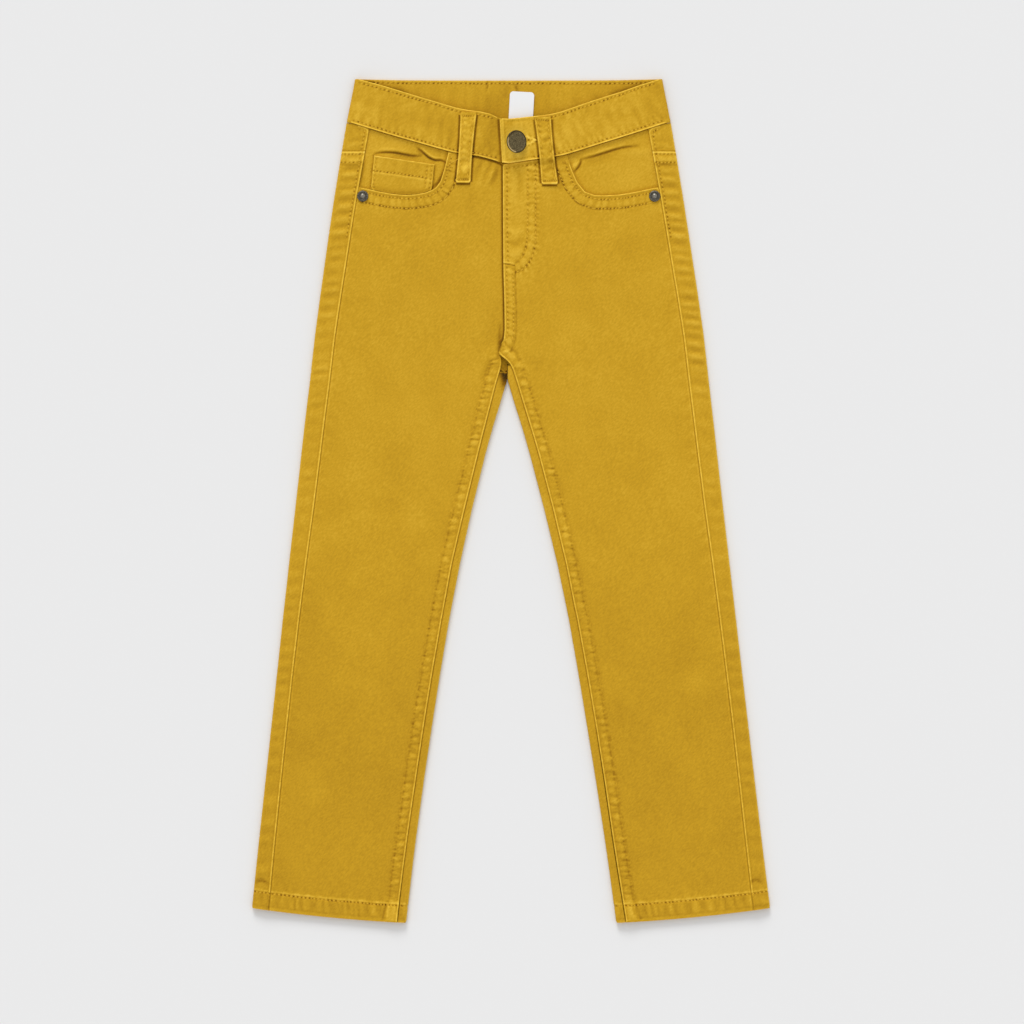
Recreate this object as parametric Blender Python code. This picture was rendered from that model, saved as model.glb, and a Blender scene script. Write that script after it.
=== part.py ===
"""A child's twill trousers with a fly and scooped pockets, laid flat with the front up.

The waist points to +Y, the hems to -Y and the front to +Z. Right and left are the
wearer's, so the right leg lies at -X. Sizes are in millimetres, and MM turns them into
Blender's metres where a mesh is made. "Across" is a distance from the middle line of
the garment, towards the side that a piece belongs to.
"""

import math
from collections import namedtuple

import bpy

MM = 0.001
RIGHT, LEFT = -1, 1
SIDE_NAMES = {RIGHT: "right", LEFT: "left"}

# Walls, and the gap between pieces that are sewn together or lie on each other.
CLOTH = 1.2  # one layer of twill
BAND_CLOTH = 1.8  # the waistband is folded double
LOOP_CLOTH = 1.4  # a belt loop is a strip folded on itself
THIN_CLOTH = 1.0  # pocket facing, coin pocket and label
SEAM_GAP = 0.3

# Heights of outer faces above the surface that the trousers lie on.
FOLD_HEIGHT = 4.0  # the fold down each edge of a leg
SIDE_RIDGE = 4.8  # back cloth at the side seam
SIDE_LOW = 4.4  # front cloth at the side seam
INSEAM_LOW = 4.3  # back cloth beside the inseam
BAND_FOLD_HEIGHT = 5.0  # the folds at the two ends of the flat waistband
BAND_FRONT = 6.2  # the front waistband
TAB_FRONT = 8.3  # its buttoned end, which lies on the other one

# One row for each level of the legs and hips, hem to waist: y, the middle line's x, the
# distance across to the outer edge, the width of back cloth that shows past the side
# seam, and how far the front crowns above its seams, or sinks.
Level = namedtuple("Level", "y mid outer strip loft")
LEVELS = [
    Level(-330.0, 0.15, 204.1, 13.3, -0.9),
    Level(-265.0, -0.5, 196.7, 12.6, -1.2),
    Level(-171.0, -0.9, 186.1, 12.2, -1.3),
    Level(-77.0, -1.3, 175.6, 12.9, -1.3),
    Level(16.0, -1.4, 165.0, 14.8, -1.1),
    Level(63.0, -1.4, 159.8, 15.3, -0.8),
    Level(95.0, -1.3, 156.0, 15.6, -0.5),
    Level(126.0, -1.3, 152.6, 15.8, -0.2),
    Level(188.0, -1.6, 143.9, 16.8, 0.5),
    Level(235.0, -1.8, 136.9, 17.4, 0.9),
    Level(274.0, -1.8, 130.6, 18.2, 1.0),
    Level(297.0, -1.8, 126.7, 18.6, 1.0),
    Level(330.0, -1.8, 120.2, 19.0, 1.0),
]

# The space between the back legs: its middle's x and half its width. Above the crotch it
# is the centre back seam.
Space = namedtuple("Space", "y mid half")
CENTRE_BACK = 0.15
BETWEEN = [
    Space(-330.0, 0.15, 82.2),
    Space(-265.0, -0.5, 73.9),
    Space(-171.0, -1.2, 59.8),
    Space(-77.0, -1.6, 43.8),
    Space(16.0, -2.5, 22.7),
    Space(63.0, -2.8, 9.8),
    Space(78.0, -2.9, 5.0),
    Space(90.0, -2.9, 1.5),
    Space(94.5, -2.9, CENTRE_BACK),
    Space(110.0, -2.9, CENTRE_BACK),
    Space(188.0, -1.8, CENTRE_BACK),
    Space(330.0, -1.8, CENTRE_BACK),
]

# Inner edge of each front: x of the inseam, then of the centre seam above the crotch,
# and the height of the cloth there. The left front laps the right one.
Rise = namedtuple("Rise", "y right left right_z left_z")
RISE = [
    Rise(-330.0, -89.0, 89.8, 4.8, 4.8),
    Rise(-264.0, -81.6, 79.3, 4.8, 4.8),
    Rise(-171.0, -68.8, 65.8, 4.8, 4.8),
    Rise(-73.0, -52.9, 49.6, 4.8, 4.8),
    Rise(22.0, -29.9, 26.4, 4.9, 4.9),
    Rise(54.0, -21.6, 16.9, 4.9, 5.1),
    Rise(79.0, -15.2, 9.3, 4.8, 5.3),
    Rise(95.0, -11.0, 4.4, 4.7, 5.4),
    Rise(103.0, -8.6, 1.8, 4.6, 5.5),
    Rise(107.5, -7.9, -0.4, 4.6, 5.6),
    Rise(111.0, -8.1, -3.8, 4.6, 5.7),
    Rise(115.0, -9.4, -8.9, 4.6, 5.8),
    Rise(118.0, -9.7, -9.3, 4.6, 5.8),
    Rise(122.0, -8.5, -8.0, 4.6, 5.8),
    Rise(126.0, -6.1, -5.6, 4.6, 5.8),
    Rise(134.0, -5.1, -4.8, 4.7, 5.8),
    Rise(157.0, -5.4, -5.1, 4.7, 5.8),
    Rise(187.0, -6.2, -5.9, 4.7, 5.9),
    Rise(263.0, -6.6, -6.3, 4.8, 6.0),
]
# The back cloth's inner fold ends lower on the right, and leaves a hollow at the crotch.
FOLD_END_Y = {RIGHT: 101.0, LEFT: 106.0}
SEAM_BAND, SEAM_STEP = 8.8, 0.35  # the felled seam allowance beside an inner edge
STEP_RUN = 1.4  # the width over which the cloth comes down from such a step
SEAM_STEP_END_Y, SEAM_STEP_FADE = 113.0, 10.0  # the right front's step fades out up to here

# The front waistband's edges, by distance across: they dip from the sides to the button.
Edge = namedtuple("Edge", "across right left")
BAND_TOP = [
    Edge(0.0, 298.2, 298.8),
    Edge(8.0, 299.4, 299.4),
    Edge(11.0, 301.6, 299.8),
    Edge(24.0, 304.8, 301.1),
    Edge(36.0, 306.2, 302.8),
    Edge(50.0, 309.9, 307.3),
    Edge(68.0, 315.1, 313.4),
    Edge(92.0, 322.3, 320.8),
    Edge(106.0, 326.4, 325.7),
    Edge(120.2, 330.0, 330.0),
]
BAND_LOW = [
    Edge(0.0, 264.2, 263.8),
    Edge(9.0, 265.3, 265.1),
    Edge(18.0, 268.2, 266.4),
    Edge(29.0, 270.4, 267.8),
    Edge(40.0, 271.6, 269.4),
    Edge(50.0, 273.9, 272.0),
    Edge(66.0, 278.3, 277.0),
    Edge(94.0, 286.1, 285.5),
    Edge(108.0, 290.3, 289.9),
    Edge(126.7, 296.0, 296.0),
]
BAND_SIDE_TOP, BAND_SIDE_LOW = 330.0, 296.0
BAND_BACK_DIP = 1.0  # how much lower the back's upper edge is in the middle
BAND_BACK_SAG = 4.0  # and its lower edge
BAND_SHARES = [0.0, 0.06, 0.12, 0.19, 0.27, 0.35, 0.44, 0.54, 0.65, 0.76, 0.87, 1.0]
TAB_END, TAB_SLANT = -7.0, -2.0  # x of the buttoned end's lower corner; the upper's, off it
TAB_OVERHANG = -0.03  # its place as a share of the way from the middle to the side
UNDERLAP_SHARE = -0.15  # the same for the other end, which lies under the tab
UNDERLAP_INSET = 1.2  # its edges lie this far inside the tab's
TAB_FLAT_TO, TAB_DOWN_AT = 22.0, 62.0  # across: the tab comes down between these
BAND_END_RUN = 40.0  # and each side comes down to its fold over this width

# The yoke's lower seam: level at the sides, dropping to the centre back.
YOKE_SEAM_SIDE, YOKE_SEAM_BACK = 273.6, 252.0

# The front pocket's scooped mouth, from the waistband round to the side seam.
SCOOP = [
    Edge(46.5, 275.0, 270.5),
    Edge(48.5, 269.5, 262.0),
    Edge(50.5, 258.5, 256.0),
    Edge(53.0, 250.8, 250.5),
    Edge(57.0, 245.2, 244.4),
    Edge(62.0, 242.3, 240.6),
    Edge(69.0, 240.3, 239.0),
    Edge(80.0, 239.2, 239.1),
    Edge(93.0, 240.5, 240.7),
    Edge(107.0, 243.4, 243.5),
    Edge(118.0, 245.7, 245.7),
]
FACING_INNER = 44.5  # across: how far the facing runs under the front
FACING_LOW_Y = 231.0
FACING_SWELL = 0.7  # how much it rises towards the waistband
SWELL_FROM, SWELL_TO = 51.0, 64.0  # across: where that begins and is full

# Hems: the lower edge slants and bows down a little, and the turned-up cloth is thicker.
HEM_OUTER_Y, HEM_INNER_Y, HEM_BOW = -318.4, -330.0, 1.5
HEM_DEPTH, HEM_STEP = 13.4, 0.4

# The fly: the stitched J on the left front, raised by the cloth folded under it.
FLY_WIDTH, FLY_LOW_Y, FLY_STEP, FLY_CORNER = 25.0, 180.0, 0.45, 20.0

# Broad folds of the fronts: a soft ridge, or a trough where the height is negative.
Fold = namedtuple("Fold", "side x0 y0 x1 y1 width height")
FOLDS = [
    Fold(RIGHT, -13.0, 150.0, -24.0, 88.0, 8.0, -0.45),
    Fold(RIGHT, -60.0, 205.0, -105.0, 168.0, 16.0, 0.35),
    Fold(RIGHT, -95.0, 60.0, -60.0, 25.0, 20.0, 0.3),
    Fold(RIGHT, -150.0, -150.0, -90.0, -170.0, 24.0, 0.3),
    Fold(LEFT, 20.0, 108.0, 42.0, 72.0, 8.0, -0.4),
    Fold(LEFT, 62.0, 200.0, 100.0, 162.0, 16.0, 0.35),
    Fold(LEFT, 60.0, 30.0, 100.0, -5.0, 20.0, 0.3),
    Fold(LEFT, 95.0, -160.0, 150.0, -145.0, 24.0, 0.3),
]

# The coin pocket, on the right facing: its corners' places, upper ones first. The lower
# ones would lie behind the front, so it ends at the pocket's mouth.
Corner = namedtuple("Corner", "x y")
COIN_TOP = (Corner(-107.0, 270.2), Corner(-59.8, 263.4))
COIN_LOW = (Corner(-110.2, 238.0), Corner(-62.5, 238.0))

# Belt loops: both ends of their middle line, and their widths there.
Loop = namedtuple("Loop", "side x0 y0 x1 y1 width0 width1")
BELT_LOOPS = [
    Loop(RIGHT, -33.1, 304.0, -37.5, 248.6, 12.6, 11.6),
    Loop(LEFT, 24.6, 300.2, 30.4, 247.4, 12.9, 12.9),
]
LOOP_ARCH = 0.7  # how far a loop's middle stands off the waistband
LOOP_PINCH = 1.4  # how much narrower it is there
LOOP_SEWN = 0.66  # share of its length from its top to the waistband's seam
LOOP_CLEAR = 2.5  # it starts to come down this far past that seam
LOOP_CORNER = 1.0  # its ends are this much narrower, for rounded corners
LOOP_BEVEL = 0.3  # and its long edges this much lower

# Care label on the inside of the back waistband: lower middle, size and lean.
LABEL_X, LABEL_LOW_Y = 7.4, 294.0
LABEL_WIDTH, LABEL_LENGTH, LABEL_LEAN = 19.0, 26.2, math.radians(-3.0)
LABEL_CORNER = 2.0

# Metal: the shank button hangs tipped to the wearer's left, as a worn one does.
BUTTON_X, BUTTON_Y, BUTTON_RADIUS = 4.4, 280.4, 8.3
BUTTON_TIP = math.radians(34.0)
BUTTON_STAND = 4.9  # from the tab to the middle of the cap's underside
CAP_THICK, STEM_RADIUS = 1.5, 2.3
RIVET_RADIUS, RIVET_INSET, RIVET_Y = 4.4, 4.5, 238.4
ROUND_SIDES = 24

Finish = namedtuple("Finish", "colour roughness metallic")
FINISHES = {
    "twill": Finish((0.57, 0.33, 0.021), 0.85, 0.0),
    "label_satin": Finish((0.83, 0.83, 0.85), 0.6, 0.0),
    "antique_brass": Finish((0.13, 0.10, 0.055), 0.42, 0.9),
    "gunmetal": Finish((0.10, 0.095, 0.095), 0.38, 0.9),
}


# ---------------------------------------------------------------- small helpers


def lerp(a, b, t):
    return a + (b - a) * t


def ease(t):
    """0 below 0, 1 above 1 and a soft step between."""
    t = min(max(t, 0.0), 1.0)
    return t * t * (3.0 - 2.0 * t)


def spread(count, start=0.0, end=1.0):
    """Evenly spaced numbers from start to end, both included, with count steps."""
    return [lerp(start, end, i / count) for i in range(count + 1)]


def smooth(rows, column, at):
    """A table's column at a value of its first column, on a smooth curve through the rows."""
    keys = [row[0] for row in rows]
    values = [getattr(row, column) for row in rows]
    if at <= keys[0]:
        return values[0]
    if at >= keys[-1]:
        return values[-1]
    i = max(k for k in range(len(keys) - 1) if keys[k] <= at)

    def rise(k):
        return (values[k + 1] - values[k]) / (keys[k + 1] - keys[k])

    def slope(k):
        # The harmonic mean of the slopes beside a row keeps the curve within the rows.
        if k in (0, len(keys) - 1):
            return rise(min(k, len(keys) - 2))
        before, after = rise(k - 1), rise(k)
        return 2 * before * after / (before + after) if before * after > 0 else 0.0

    step = keys[i + 1] - keys[i]
    t = (at - keys[i]) / step
    return (
        values[i] * (1 + 2 * t) * (1 - t) ** 2
        + values[i + 1] * t * t * (3 - 2 * t)
        + slope(i) * step * t * (1 - t) ** 2
        - slope(i + 1) * step * t * t * (1 - t)
    )


def level(column, y):
    return smooth(LEVELS, column, y)


def edge(rows, side, across):
    return smooth(rows, SIDE_NAMES[side], abs(across))


def settle(y, next_y):
    """The y that next_y maps to itself, near enough after a few steps."""
    for _ in range(6):
        y = next_y(y)
    return y


# ---------------------------------------------------------------- meshes


def material(name):
    """The material of a finish, made the first time it is asked for."""
    found = bpy.data.materials.get(name)
    if found:
        return found
    finish = FINISHES[name]
    made = bpy.data.materials.new(name)
    made.use_nodes = True
    shader = made.node_tree.nodes["Principled BSDF"]
    shader.inputs["Base Color"].default_value = (*finish.colour, 1.0)
    shader.inputs["Roughness"].default_value = finish.roughness
    shader.inputs["Metallic"].default_value = finish.metallic
    return made


def signed_volume(mesh):
    mesh.calc_loop_triangles()
    total = 0.0
    for triangle in mesh.loop_triangles:
        a, b, c = (mesh.vertices[i].co for i in triangle.vertices)
        total += a.dot(b.cross(c))
    return total / 6.0


def add_object(name, points, faces, finish):
    """A named object of these points, in millimetres, with its faces turned outwards."""
    mesh = bpy.data.meshes.new(name)
    mesh.from_pydata([[value * MM for value in point] for point in points], [], faces)
    mesh.materials.append(material(finish))
    if signed_volume(mesh) < 0:
        mesh.flip_normals()
    mesh.shade_smooth()
    mesh.set_sharp_from_angle(angle=math.radians(40))
    made = bpy.data.objects.new(name, mesh)
    bpy.context.scene.collection.objects.link(made)


def wall(name, outer, inner, finish, keep=None):
    """A closed wall of cloth between two grids of points, outer[row][column] and inner.

    keep(row, column) says whether the cell above and after that point is cloth, so that
    a panel may have a step in its outline.
    """
    cells = [
        (i, j)
        for i in range(len(outer) - 1)
        for j in range(len(outer[0]) - 1)
        if keep is None or keep(i, j)
    ]
    number, points = {}, []

    def index(grid, i, j):
        if (id(grid), i, j) not in number:
            number[id(grid), i, j] = len(points)
            points.append(grid[i][j])
        return number[id(grid), i, j]

    faces, rims = [], {}
    for i, j in cells:
        corners = [(i, j), (i, j + 1), (i + 1, j + 1), (i + 1, j)]
        faces.append([index(outer, *corner) for corner in corners])
        faces.append([index(inner, *corner) for corner in reversed(corners)])
        for start, end in zip(corners, corners[1:] + corners[:1]):
            # An edge between two cells is met once each way, and is no rim.
            if rims.pop((end, start), None) is None:
                rims[start, end] = True
    for start, end in rims:
        ring = [(outer, end), (outer, start), (inner, start), (inner, end)]
        faces.append([index(grid, *corner) for grid, corner in ring])
    add_object(name, points, faces, finish)


def turned(name, profile, finish, place):
    """A round solid. profile is (radius, height) from its lower to its upper middle."""
    points, faces, rings = [place(0.0, 0.0, profile[0][1])], [], []
    for radius, height in profile[1:-1]:
        rings.append(range(len(points), len(points) + ROUND_SIDES))
        for k in range(ROUND_SIDES):
            turn = 2 * math.pi * k / ROUND_SIDES
            points.append(place(radius * math.cos(turn), radius * math.sin(turn), height))
    points.append(place(0.0, 0.0, profile[-1][1]))
    for k in range(ROUND_SIDES):
        after = (k + 1) % ROUND_SIDES
        faces.append([0, rings[0][after], rings[0][k]])
        for low, high in zip(rings, rings[1:]):
            faces.append([low[k], low[after], high[after], high[k]])
        faces.append([rings[-1][k], rings[-1][after], len(points) - 1])
    add_object(name, points, faces, finish)


# ---------------------------------------------------------------- the back cloth

# Rows of points that the back and the front share, so that their seams run alike.
LEG_ROWS = spread(7, -262.0, 36.0)
CROTCH_ROWS = [58.0, 78.0, 90.0, 94.5, 103.0, 107.5, 111.0, 115.0, 118.0, 122.0, 126.0, 134.0]
LEAST_STRIP = 0.4  # width of the strip beside the inseam where it runs out

# A place round a leg's section is a zone and how far along it, from the side seam on
# top, round the outer fold, under the leg and round the inner fold to the inseam.
STRIP_ZONE = [("side strip", t) for t in spread(3)]
OUTER_FOLD_ZONE = [("outer fold", t) for t in spread(4)[1:]]
UNDER_ZONE = [("under", t) for t in spread(4)[1:]]
INNER_FOLD_ZONE = [("inner fold", t) for t in spread(4)[1:]]
INSEAM_ZONE = [("inseam strip", t) for t in spread(2)[1:]]


def rise_across(side, y):
    """Distance across to the inner edge of a front: centre seam or inseam."""
    return side * (smooth(RISE, SIDE_NAMES[side], y) - level("mid", y))


def inner_across(side, y):
    """Distance across to the inner edge of a back leg."""
    aside = side * (smooth(BETWEEN, "mid", y) - level("mid", y))
    return aside + smooth(BETWEEN, "half", y)


def back_point(side, place, y, depth):
    """A point of the back cloth: depth 0 is on its outer face, CLOTH on its inner one."""
    zone, t = place
    outer, inner = level("outer", y), inner_across(side, y)
    bend = FOLD_HEIGHT / 2
    if zone == "side strip":
        across = lerp(outer - level("strip", y), outer - bend, t)
        z = lerp(SIDE_RIDGE, FOLD_HEIGHT, ease(t)) - depth
    elif zone == "outer fold":
        turn = math.pi * (0.5 - t)
        across = outer - bend + (bend - depth) * math.cos(turn)
        z = bend + (bend - depth) * math.sin(turn)
    elif zone == "under":
        end = inner + bend if y <= FOLD_END_Y[side] else inner
        across, z = lerp(outer - bend, end, t), depth
    elif zone == "inner fold":
        turn = -math.pi * (0.5 + t)
        across = inner + bend + (bend - depth) * math.cos(turn)
        z = bend + (bend - depth) * math.sin(turn)
    else:
        seam = max(rise_across(side, y) - SEAM_GAP, inner + bend + LEAST_STRIP)
        across = lerp(inner + bend, seam, t)
        z = lerp(FOLD_HEIGHT, INSEAM_LOW, t) - depth
    return (level("mid", y) + side * across, y, z)


def place_across(side, place, y):
    """Distance across of a place on the outer face."""
    return side * (back_point(side, place, y, 0.0)[0] - level("mid", y))


def hem_y(across):
    """Height of the hem's edge, which slants down to the inner edge of the leg."""
    outer, inner = level("outer", HEM_OUTER_Y), smooth(BETWEEN, "half", HEM_OUTER_Y)
    share = min(max((outer - across) / (outer - inner), 0.0), 1.0)
    bow = HEM_BOW * 4.0 * share * (1.0 - share)
    return lerp(HEM_OUTER_Y, HEM_INNER_Y, share) - bow


def yoke_seam_y(place):
    zone, t = place
    if zone == "under":
        return lerp(YOKE_SEAM_SIDE, YOKE_SEAM_BACK, t)
    return YOKE_SEAM_SIDE


def band_low_back(across):
    """Height of the back waistband's lower edge."""
    share = min(abs(across) / level("outer", BAND_SIDE_LOW), 1.0)
    return BAND_SIDE_LOW - BAND_BACK_SAG * (1.0 - share**2)


def band_low_front(side, across):
    """Height of the front waistband's lower edge, along its stations."""
    reach = level("outer", BAND_SIDE_LOW) - BAND_FOLD_HEIGHT / 2
    share = min(max(across / reach, 0.0), 1.0)
    k = min(sum(station <= share for station in BAND_SHARES), len(BAND_SHARES) - 1)
    low, high = BAND_SHARES[k - 1], BAND_SHARES[k]
    ends = [edge(BAND_LOW, side, s * level("outer", BAND_SIDE_LOW)) for s in (low, high)]
    return lerp(*ends, (share - low) / (high - low))


def build_back_panel(side):
    """One back leg: it folds round both edges of the leg and shows as strips on top."""
    places = STRIP_ZONE + OUTER_FOLD_ZONE + UNDER_ZONE + INNER_FOLD_ZONE + INSEAM_ZONE
    under_end = len(STRIP_ZONE + OUTER_FOLD_ZONE + UNDER_ZONE) - 1
    above_hem = [0.0, HEM_DEPTH - 1.0, HEM_DEPTH, 40.0]
    fold_end = FOLD_END_Y[side]
    legs = LEG_ROWS + [y for y in CROTCH_ROWS if y < fold_end]
    hips = spread(4, 132.0, 236.0)
    outer, inner = [], []

    def add_row(at, step=0.0):
        row = [back_point(side, place, at(place), 0.0) for place in places]
        # The thicker hem rises with its height, so that the underside stays flat.
        outer.append([(x, y, z + step * min(z / FOLD_HEIGHT, 1.0)) for x, y, z in row])
        inner.append([back_point(side, place, at(place), CLOTH) for place in places])

    for lift in above_hem:
        add_row(
            lambda place: hem_y(place_across(side, place, HEM_OUTER_Y)) + lift,
            HEM_STEP if lift < HEM_DEPTH else 0.0,
        )
    for y in legs + [fold_end, fold_end + 1.5] + hips:
        add_row(lambda place: y)
    add_row(lambda place: yoke_seam_y(place) - SEAM_GAP)
    fold_end_row = len(above_hem) + len(legs)
    wall(
        f"back_panel_{SIDE_NAMES[side]}",
        outer,
        inner,
        "twill",
        keep=lambda i, j: i < fold_end_row or j < under_end,
    )


def build_yoke(side):
    """One half of the back yoke, which comes round to the side seam on the front."""
    places = STRIP_ZONE + OUTER_FOLD_ZONE + UNDER_ZONE

    def top_y(place):
        if place[0] == "side strip":
            low = settle(290.0, lambda y: band_low_front(side, place_across(side, place, y)))
        elif place[0] == "under":
            low = band_low_back(place_across(side, place, BAND_SIDE_LOW))
        else:
            low = BAND_SIDE_LOW
        return low - SEAM_GAP

    grids = []
    for depth in (0.0, CLOTH):
        grids.append(
            [
                [
                    back_point(side, place, lerp(yoke_seam_y(place), top_y(place), t), depth)
                    for place in places
                ]
                for t in spread(2)
            ]
        )
    wall(f"yoke_{SIDE_NAMES[side]}", *grids, "twill")


# ---------------------------------------------------------------- the front cloth

# A column of a front is at a share of the way from the side seam to the seam band and
# the fly, and past there at a distance from the front's inner edge.
Column = namedtuple("Column", "share from_edge")
FLY_ZONE = FLY_WIDTH + 2.0
SHARES = [0.0, 0.04, 0.11, 0.21, 0.33, 0.44, 0.53, 0.61, 0.67, 0.71, 0.745]
SHARES += [0.78, 0.81, 0.835, 0.9]
EDGE_STEPS = [FLY_ZONE, FLY_WIDTH + 0.7, FLY_WIDTH - 0.7, 18.0]
EDGE_STEPS += [SEAM_BAND + 0.7, SEAM_BAND - 0.7, 5.0, 0.0]
COLUMNS = [Column(share, FLY_ZONE) for share in SHARES]
COLUMNS += [Column(1.0, step) for step in EDGE_STEPS]


def side_seam_across(y):
    """Distance across to the front's edge at the side seam."""
    return level("outer", y) - level("strip", y) - SEAM_GAP


def front_across(side, column, y):
    inner = rise_across(side, y)
    return lerp(side_seam_across(y), inner + column.from_edge, column.share)


def fold_height(side, x, y):
    """Height that the broad folds add to a front at a point."""
    total = 0.0
    for fold in FOLDS:
        if fold.side != side:
            continue
        along_x, along_y = fold.x1 - fold.x0, fold.y1 - fold.y0
        length = math.hypot(along_x, along_y)
        t = ((x - fold.x0) * along_x + (y - fold.y0) * along_y) / length**2
        off = ((x - fold.x0) * along_y - (y - fold.y0) * along_x) / length
        fade = ease(min(t, 1.0 - t) * 3.0 + 0.5)
        total += fold.height * fade * math.exp(-((off / fold.width) ** 2))
    return total


def step_height(side, from_edge, y):
    """How much the cloth folded under a front raises it, near its inner edge."""
    beside_seam = SEAM_STEP * ease((SEAM_BAND - from_edge) / STEP_RUN + 0.5)
    if side == RIGHT:
        return beside_seam * ease((SEAM_STEP_END_Y - y) / SEAM_STEP_FADE)
    reach = FLY_WIDTH
    if y < FLY_LOW_Y + FLY_CORNER:
        down = min((FLY_LOW_Y + FLY_CORNER - y) / FLY_CORNER, 1.0)
        reach -= FLY_CORNER * (1.0 - math.sqrt(1.0 - down * down))
    in_fly = FLY_STEP * ease((reach - from_edge) / STEP_RUN + 0.5)
    return max(beside_seam, in_fly * ease((y - FLY_LOW_Y) / STEP_RUN))


def front_height(side, across, y):
    """Height of a front's outer face, or of where it would be past its edges."""
    seam, inner = side_seam_across(y), rise_across(side, y)
    u = min(max((seam - across) / (seam - inner), 0.0), 1.0)
    edge_z = smooth(RISE, f"{SIDE_NAMES[side]}_z", y) - step_height(side, 0.0, y)
    crown = level("loft", y) * (4.0 * u * (1.0 - u)) ** 0.6
    height = lerp(SIDE_LOW, edge_z, u**3) + crown
    height += fold_height(side, level("mid", y) + side * across, y)
    return height + step_height(side, across - inner, y)


def front_top_y(side, column):
    """Upper end of a column of a front: the pocket's scoop or the waistband's seam."""

    def top(y):
        across = front_across(side, column, y)
        seam = band_low_front(side, across) - SEAM_GAP
        return min(edge(SCOOP, side, across), seam)

    return settle(255.0, top)


def build_front_panel(side):
    """One front, from the hem to the waistband, cut away round the pocket mouth."""
    above_hem = [0.0, HEM_DEPTH - 1.0, HEM_DEPTH, 40.0]
    hips = spread(5, 150.0, 222.0)
    outer, inner = [], []

    def add_row(at, step=0.0):
        outer_row, inner_row = [], []
        for column in COLUMNS:
            y = at(column)
            across = front_across(side, column, y)
            x, z = level("mid", y) + side * across, front_height(side, across, y)
            outer_row.append((x, y, z + step))
            inner_row.append((x, y, z - CLOTH))
        outer.append(outer_row)
        inner.append(inner_row)

    for lift in above_hem:
        add_row(
            lambda column: hem_y(front_across(side, column, HEM_OUTER_Y)) + lift,
            HEM_STEP if lift < HEM_DEPTH else 0.0,
        )
    for y in LEG_ROWS + CROTCH_ROWS + hips:
        add_row(lambda column: y)
    for t in spread(4)[1:]:
        add_row(lambda column: lerp(hips[-1], front_top_y(side, column), t))
    wall(f"front_panel_{SIDE_NAMES[side]}", outer, inner, "twill")


# ---------------------------------------------------------------- pockets


def facing_height(side, across, y):
    """Height of a facing's outer face: under the front, and rising to the waistband."""
    low = edge(SCOOP, side, across)
    high = edge(BAND_LOW, side, across)
    swell = FACING_SWELL * ease((y - low) / max(high - low, 1.0))
    swell *= ease((across - SWELL_FROM) / (SWELL_TO - SWELL_FROM))
    return front_height(side, across, y) - CLOTH - SEAM_GAP + swell


def build_pocket_facing(side):
    """The cloth that shows inside a pocket's scoop, and runs under the front."""

    def across_at(y, t):
        return lerp(side_seam_across(y), FACING_INNER, t)

    def top_y(t):
        seam = settle(285.0, lambda y: band_low_front(side, across_at(y, t)))
        return seam - SEAM_GAP

    outer, inner = [], []
    for share in spread(7):
        outer_row, inner_row = [], []
        for t in spread(9):
            y = lerp(FACING_LOW_Y, top_y(t), share)
            across = across_at(y, t)
            x, z = level("mid", y) + side * across, facing_height(side, across, y)
            outer_row.append((x, y, z))
            inner_row.append((x, y, z - THIN_CLOTH))
        outer.append(outer_row)
        inner.append(inner_row)
    wall(f"pocket_facing_{SIDE_NAMES[side]}", outer, inner, "twill")


def build_coin_pocket():
    """The small patch pocket on the right facing."""
    outer, inner = [], []
    for share in spread(4):
        outer_row, inner_row = [], []
        for t in spread(7):
            low = [lerp(*pair, t) for pair in zip(*COIN_LOW)]
            top = [lerp(*pair, t) for pair in zip(*COIN_TOP)]
            x, y = (lerp(*pair, share) for pair in zip(low, top))
            # It stays inside the pocket's mouth, whose edge it meets below.
            across = level("mid", y) - x
            y = max(y, edge(SCOOP, RIGHT, across) + SEAM_GAP + share)
            z = facing_height(RIGHT, across, y) + SEAM_GAP
            outer_row.append((x, y, z + THIN_CLOTH))
            inner_row.append((x, y, z))
        outer.append(outer_row)
        inner.append(inner_row)
    wall("coin_pocket", outer, inner, "twill")


# ---------------------------------------------------------------- the waistband


def band_front_height(side, across):
    """Height of the front waistband's outer face: the left end lies on the right one."""
    height = BAND_FRONT
    if side == LEFT:
        down = (across - TAB_FLAT_TO) / (TAB_DOWN_AT - TAB_FLAT_TO)
        height = lerp(TAB_FRONT, BAND_FRONT, ease(down))
    fold = level("outer", BAND_SIDE_LOW) - BAND_FOLD_HEIGHT / 2
    return lerp(height, BAND_FOLD_HEIGHT, ease(1.0 + (across - fold) / BAND_END_RUN))


def band_point(station, w, depth):
    """A point of the waistband; w runs from its lower to its upper edge."""
    zone, side, t = station
    mid = level("mid", BAND_SIDE_LOW)
    bend = BAND_FOLD_HEIGHT / 2
    low_outer, top_outer = level("outer", BAND_SIDE_LOW), level("outer", BAND_SIDE_TOP)
    fold = lerp(low_outer, top_outer, w) - bend
    if zone == "fold":
        turn = math.pi * (0.5 - t)
        across = fold + (bend - depth) * math.cos(turn)
        y = lerp(BAND_SIDE_LOW, BAND_SIDE_TOP, w)
        return (mid + side * across, y, bend + (bend - depth) * math.sin(turn))
    across = t * fold
    if zone == "back":
        low = band_low_back(t * low_outer)
        top = BAND_SIDE_TOP - BAND_BACK_DIP * (1.0 - t**4)
        return (mid + across, lerp(low, top, w), depth)
    x, z = mid + side * across, band_front_height(side, across) - depth
    shape, inset = side, 0.0
    if side == LEFT and t < 0:
        x = TAB_END + TAB_SLANT * w
    if side == RIGHT and t <= 0:
        shape, inset = LEFT, UNDERLAP_INSET
    low = edge(BAND_LOW, shape, t * low_outer) + inset
    top = edge(BAND_TOP, shape, t * top_outer) - inset
    return (x, lerp(low, top, w), z)


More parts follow.
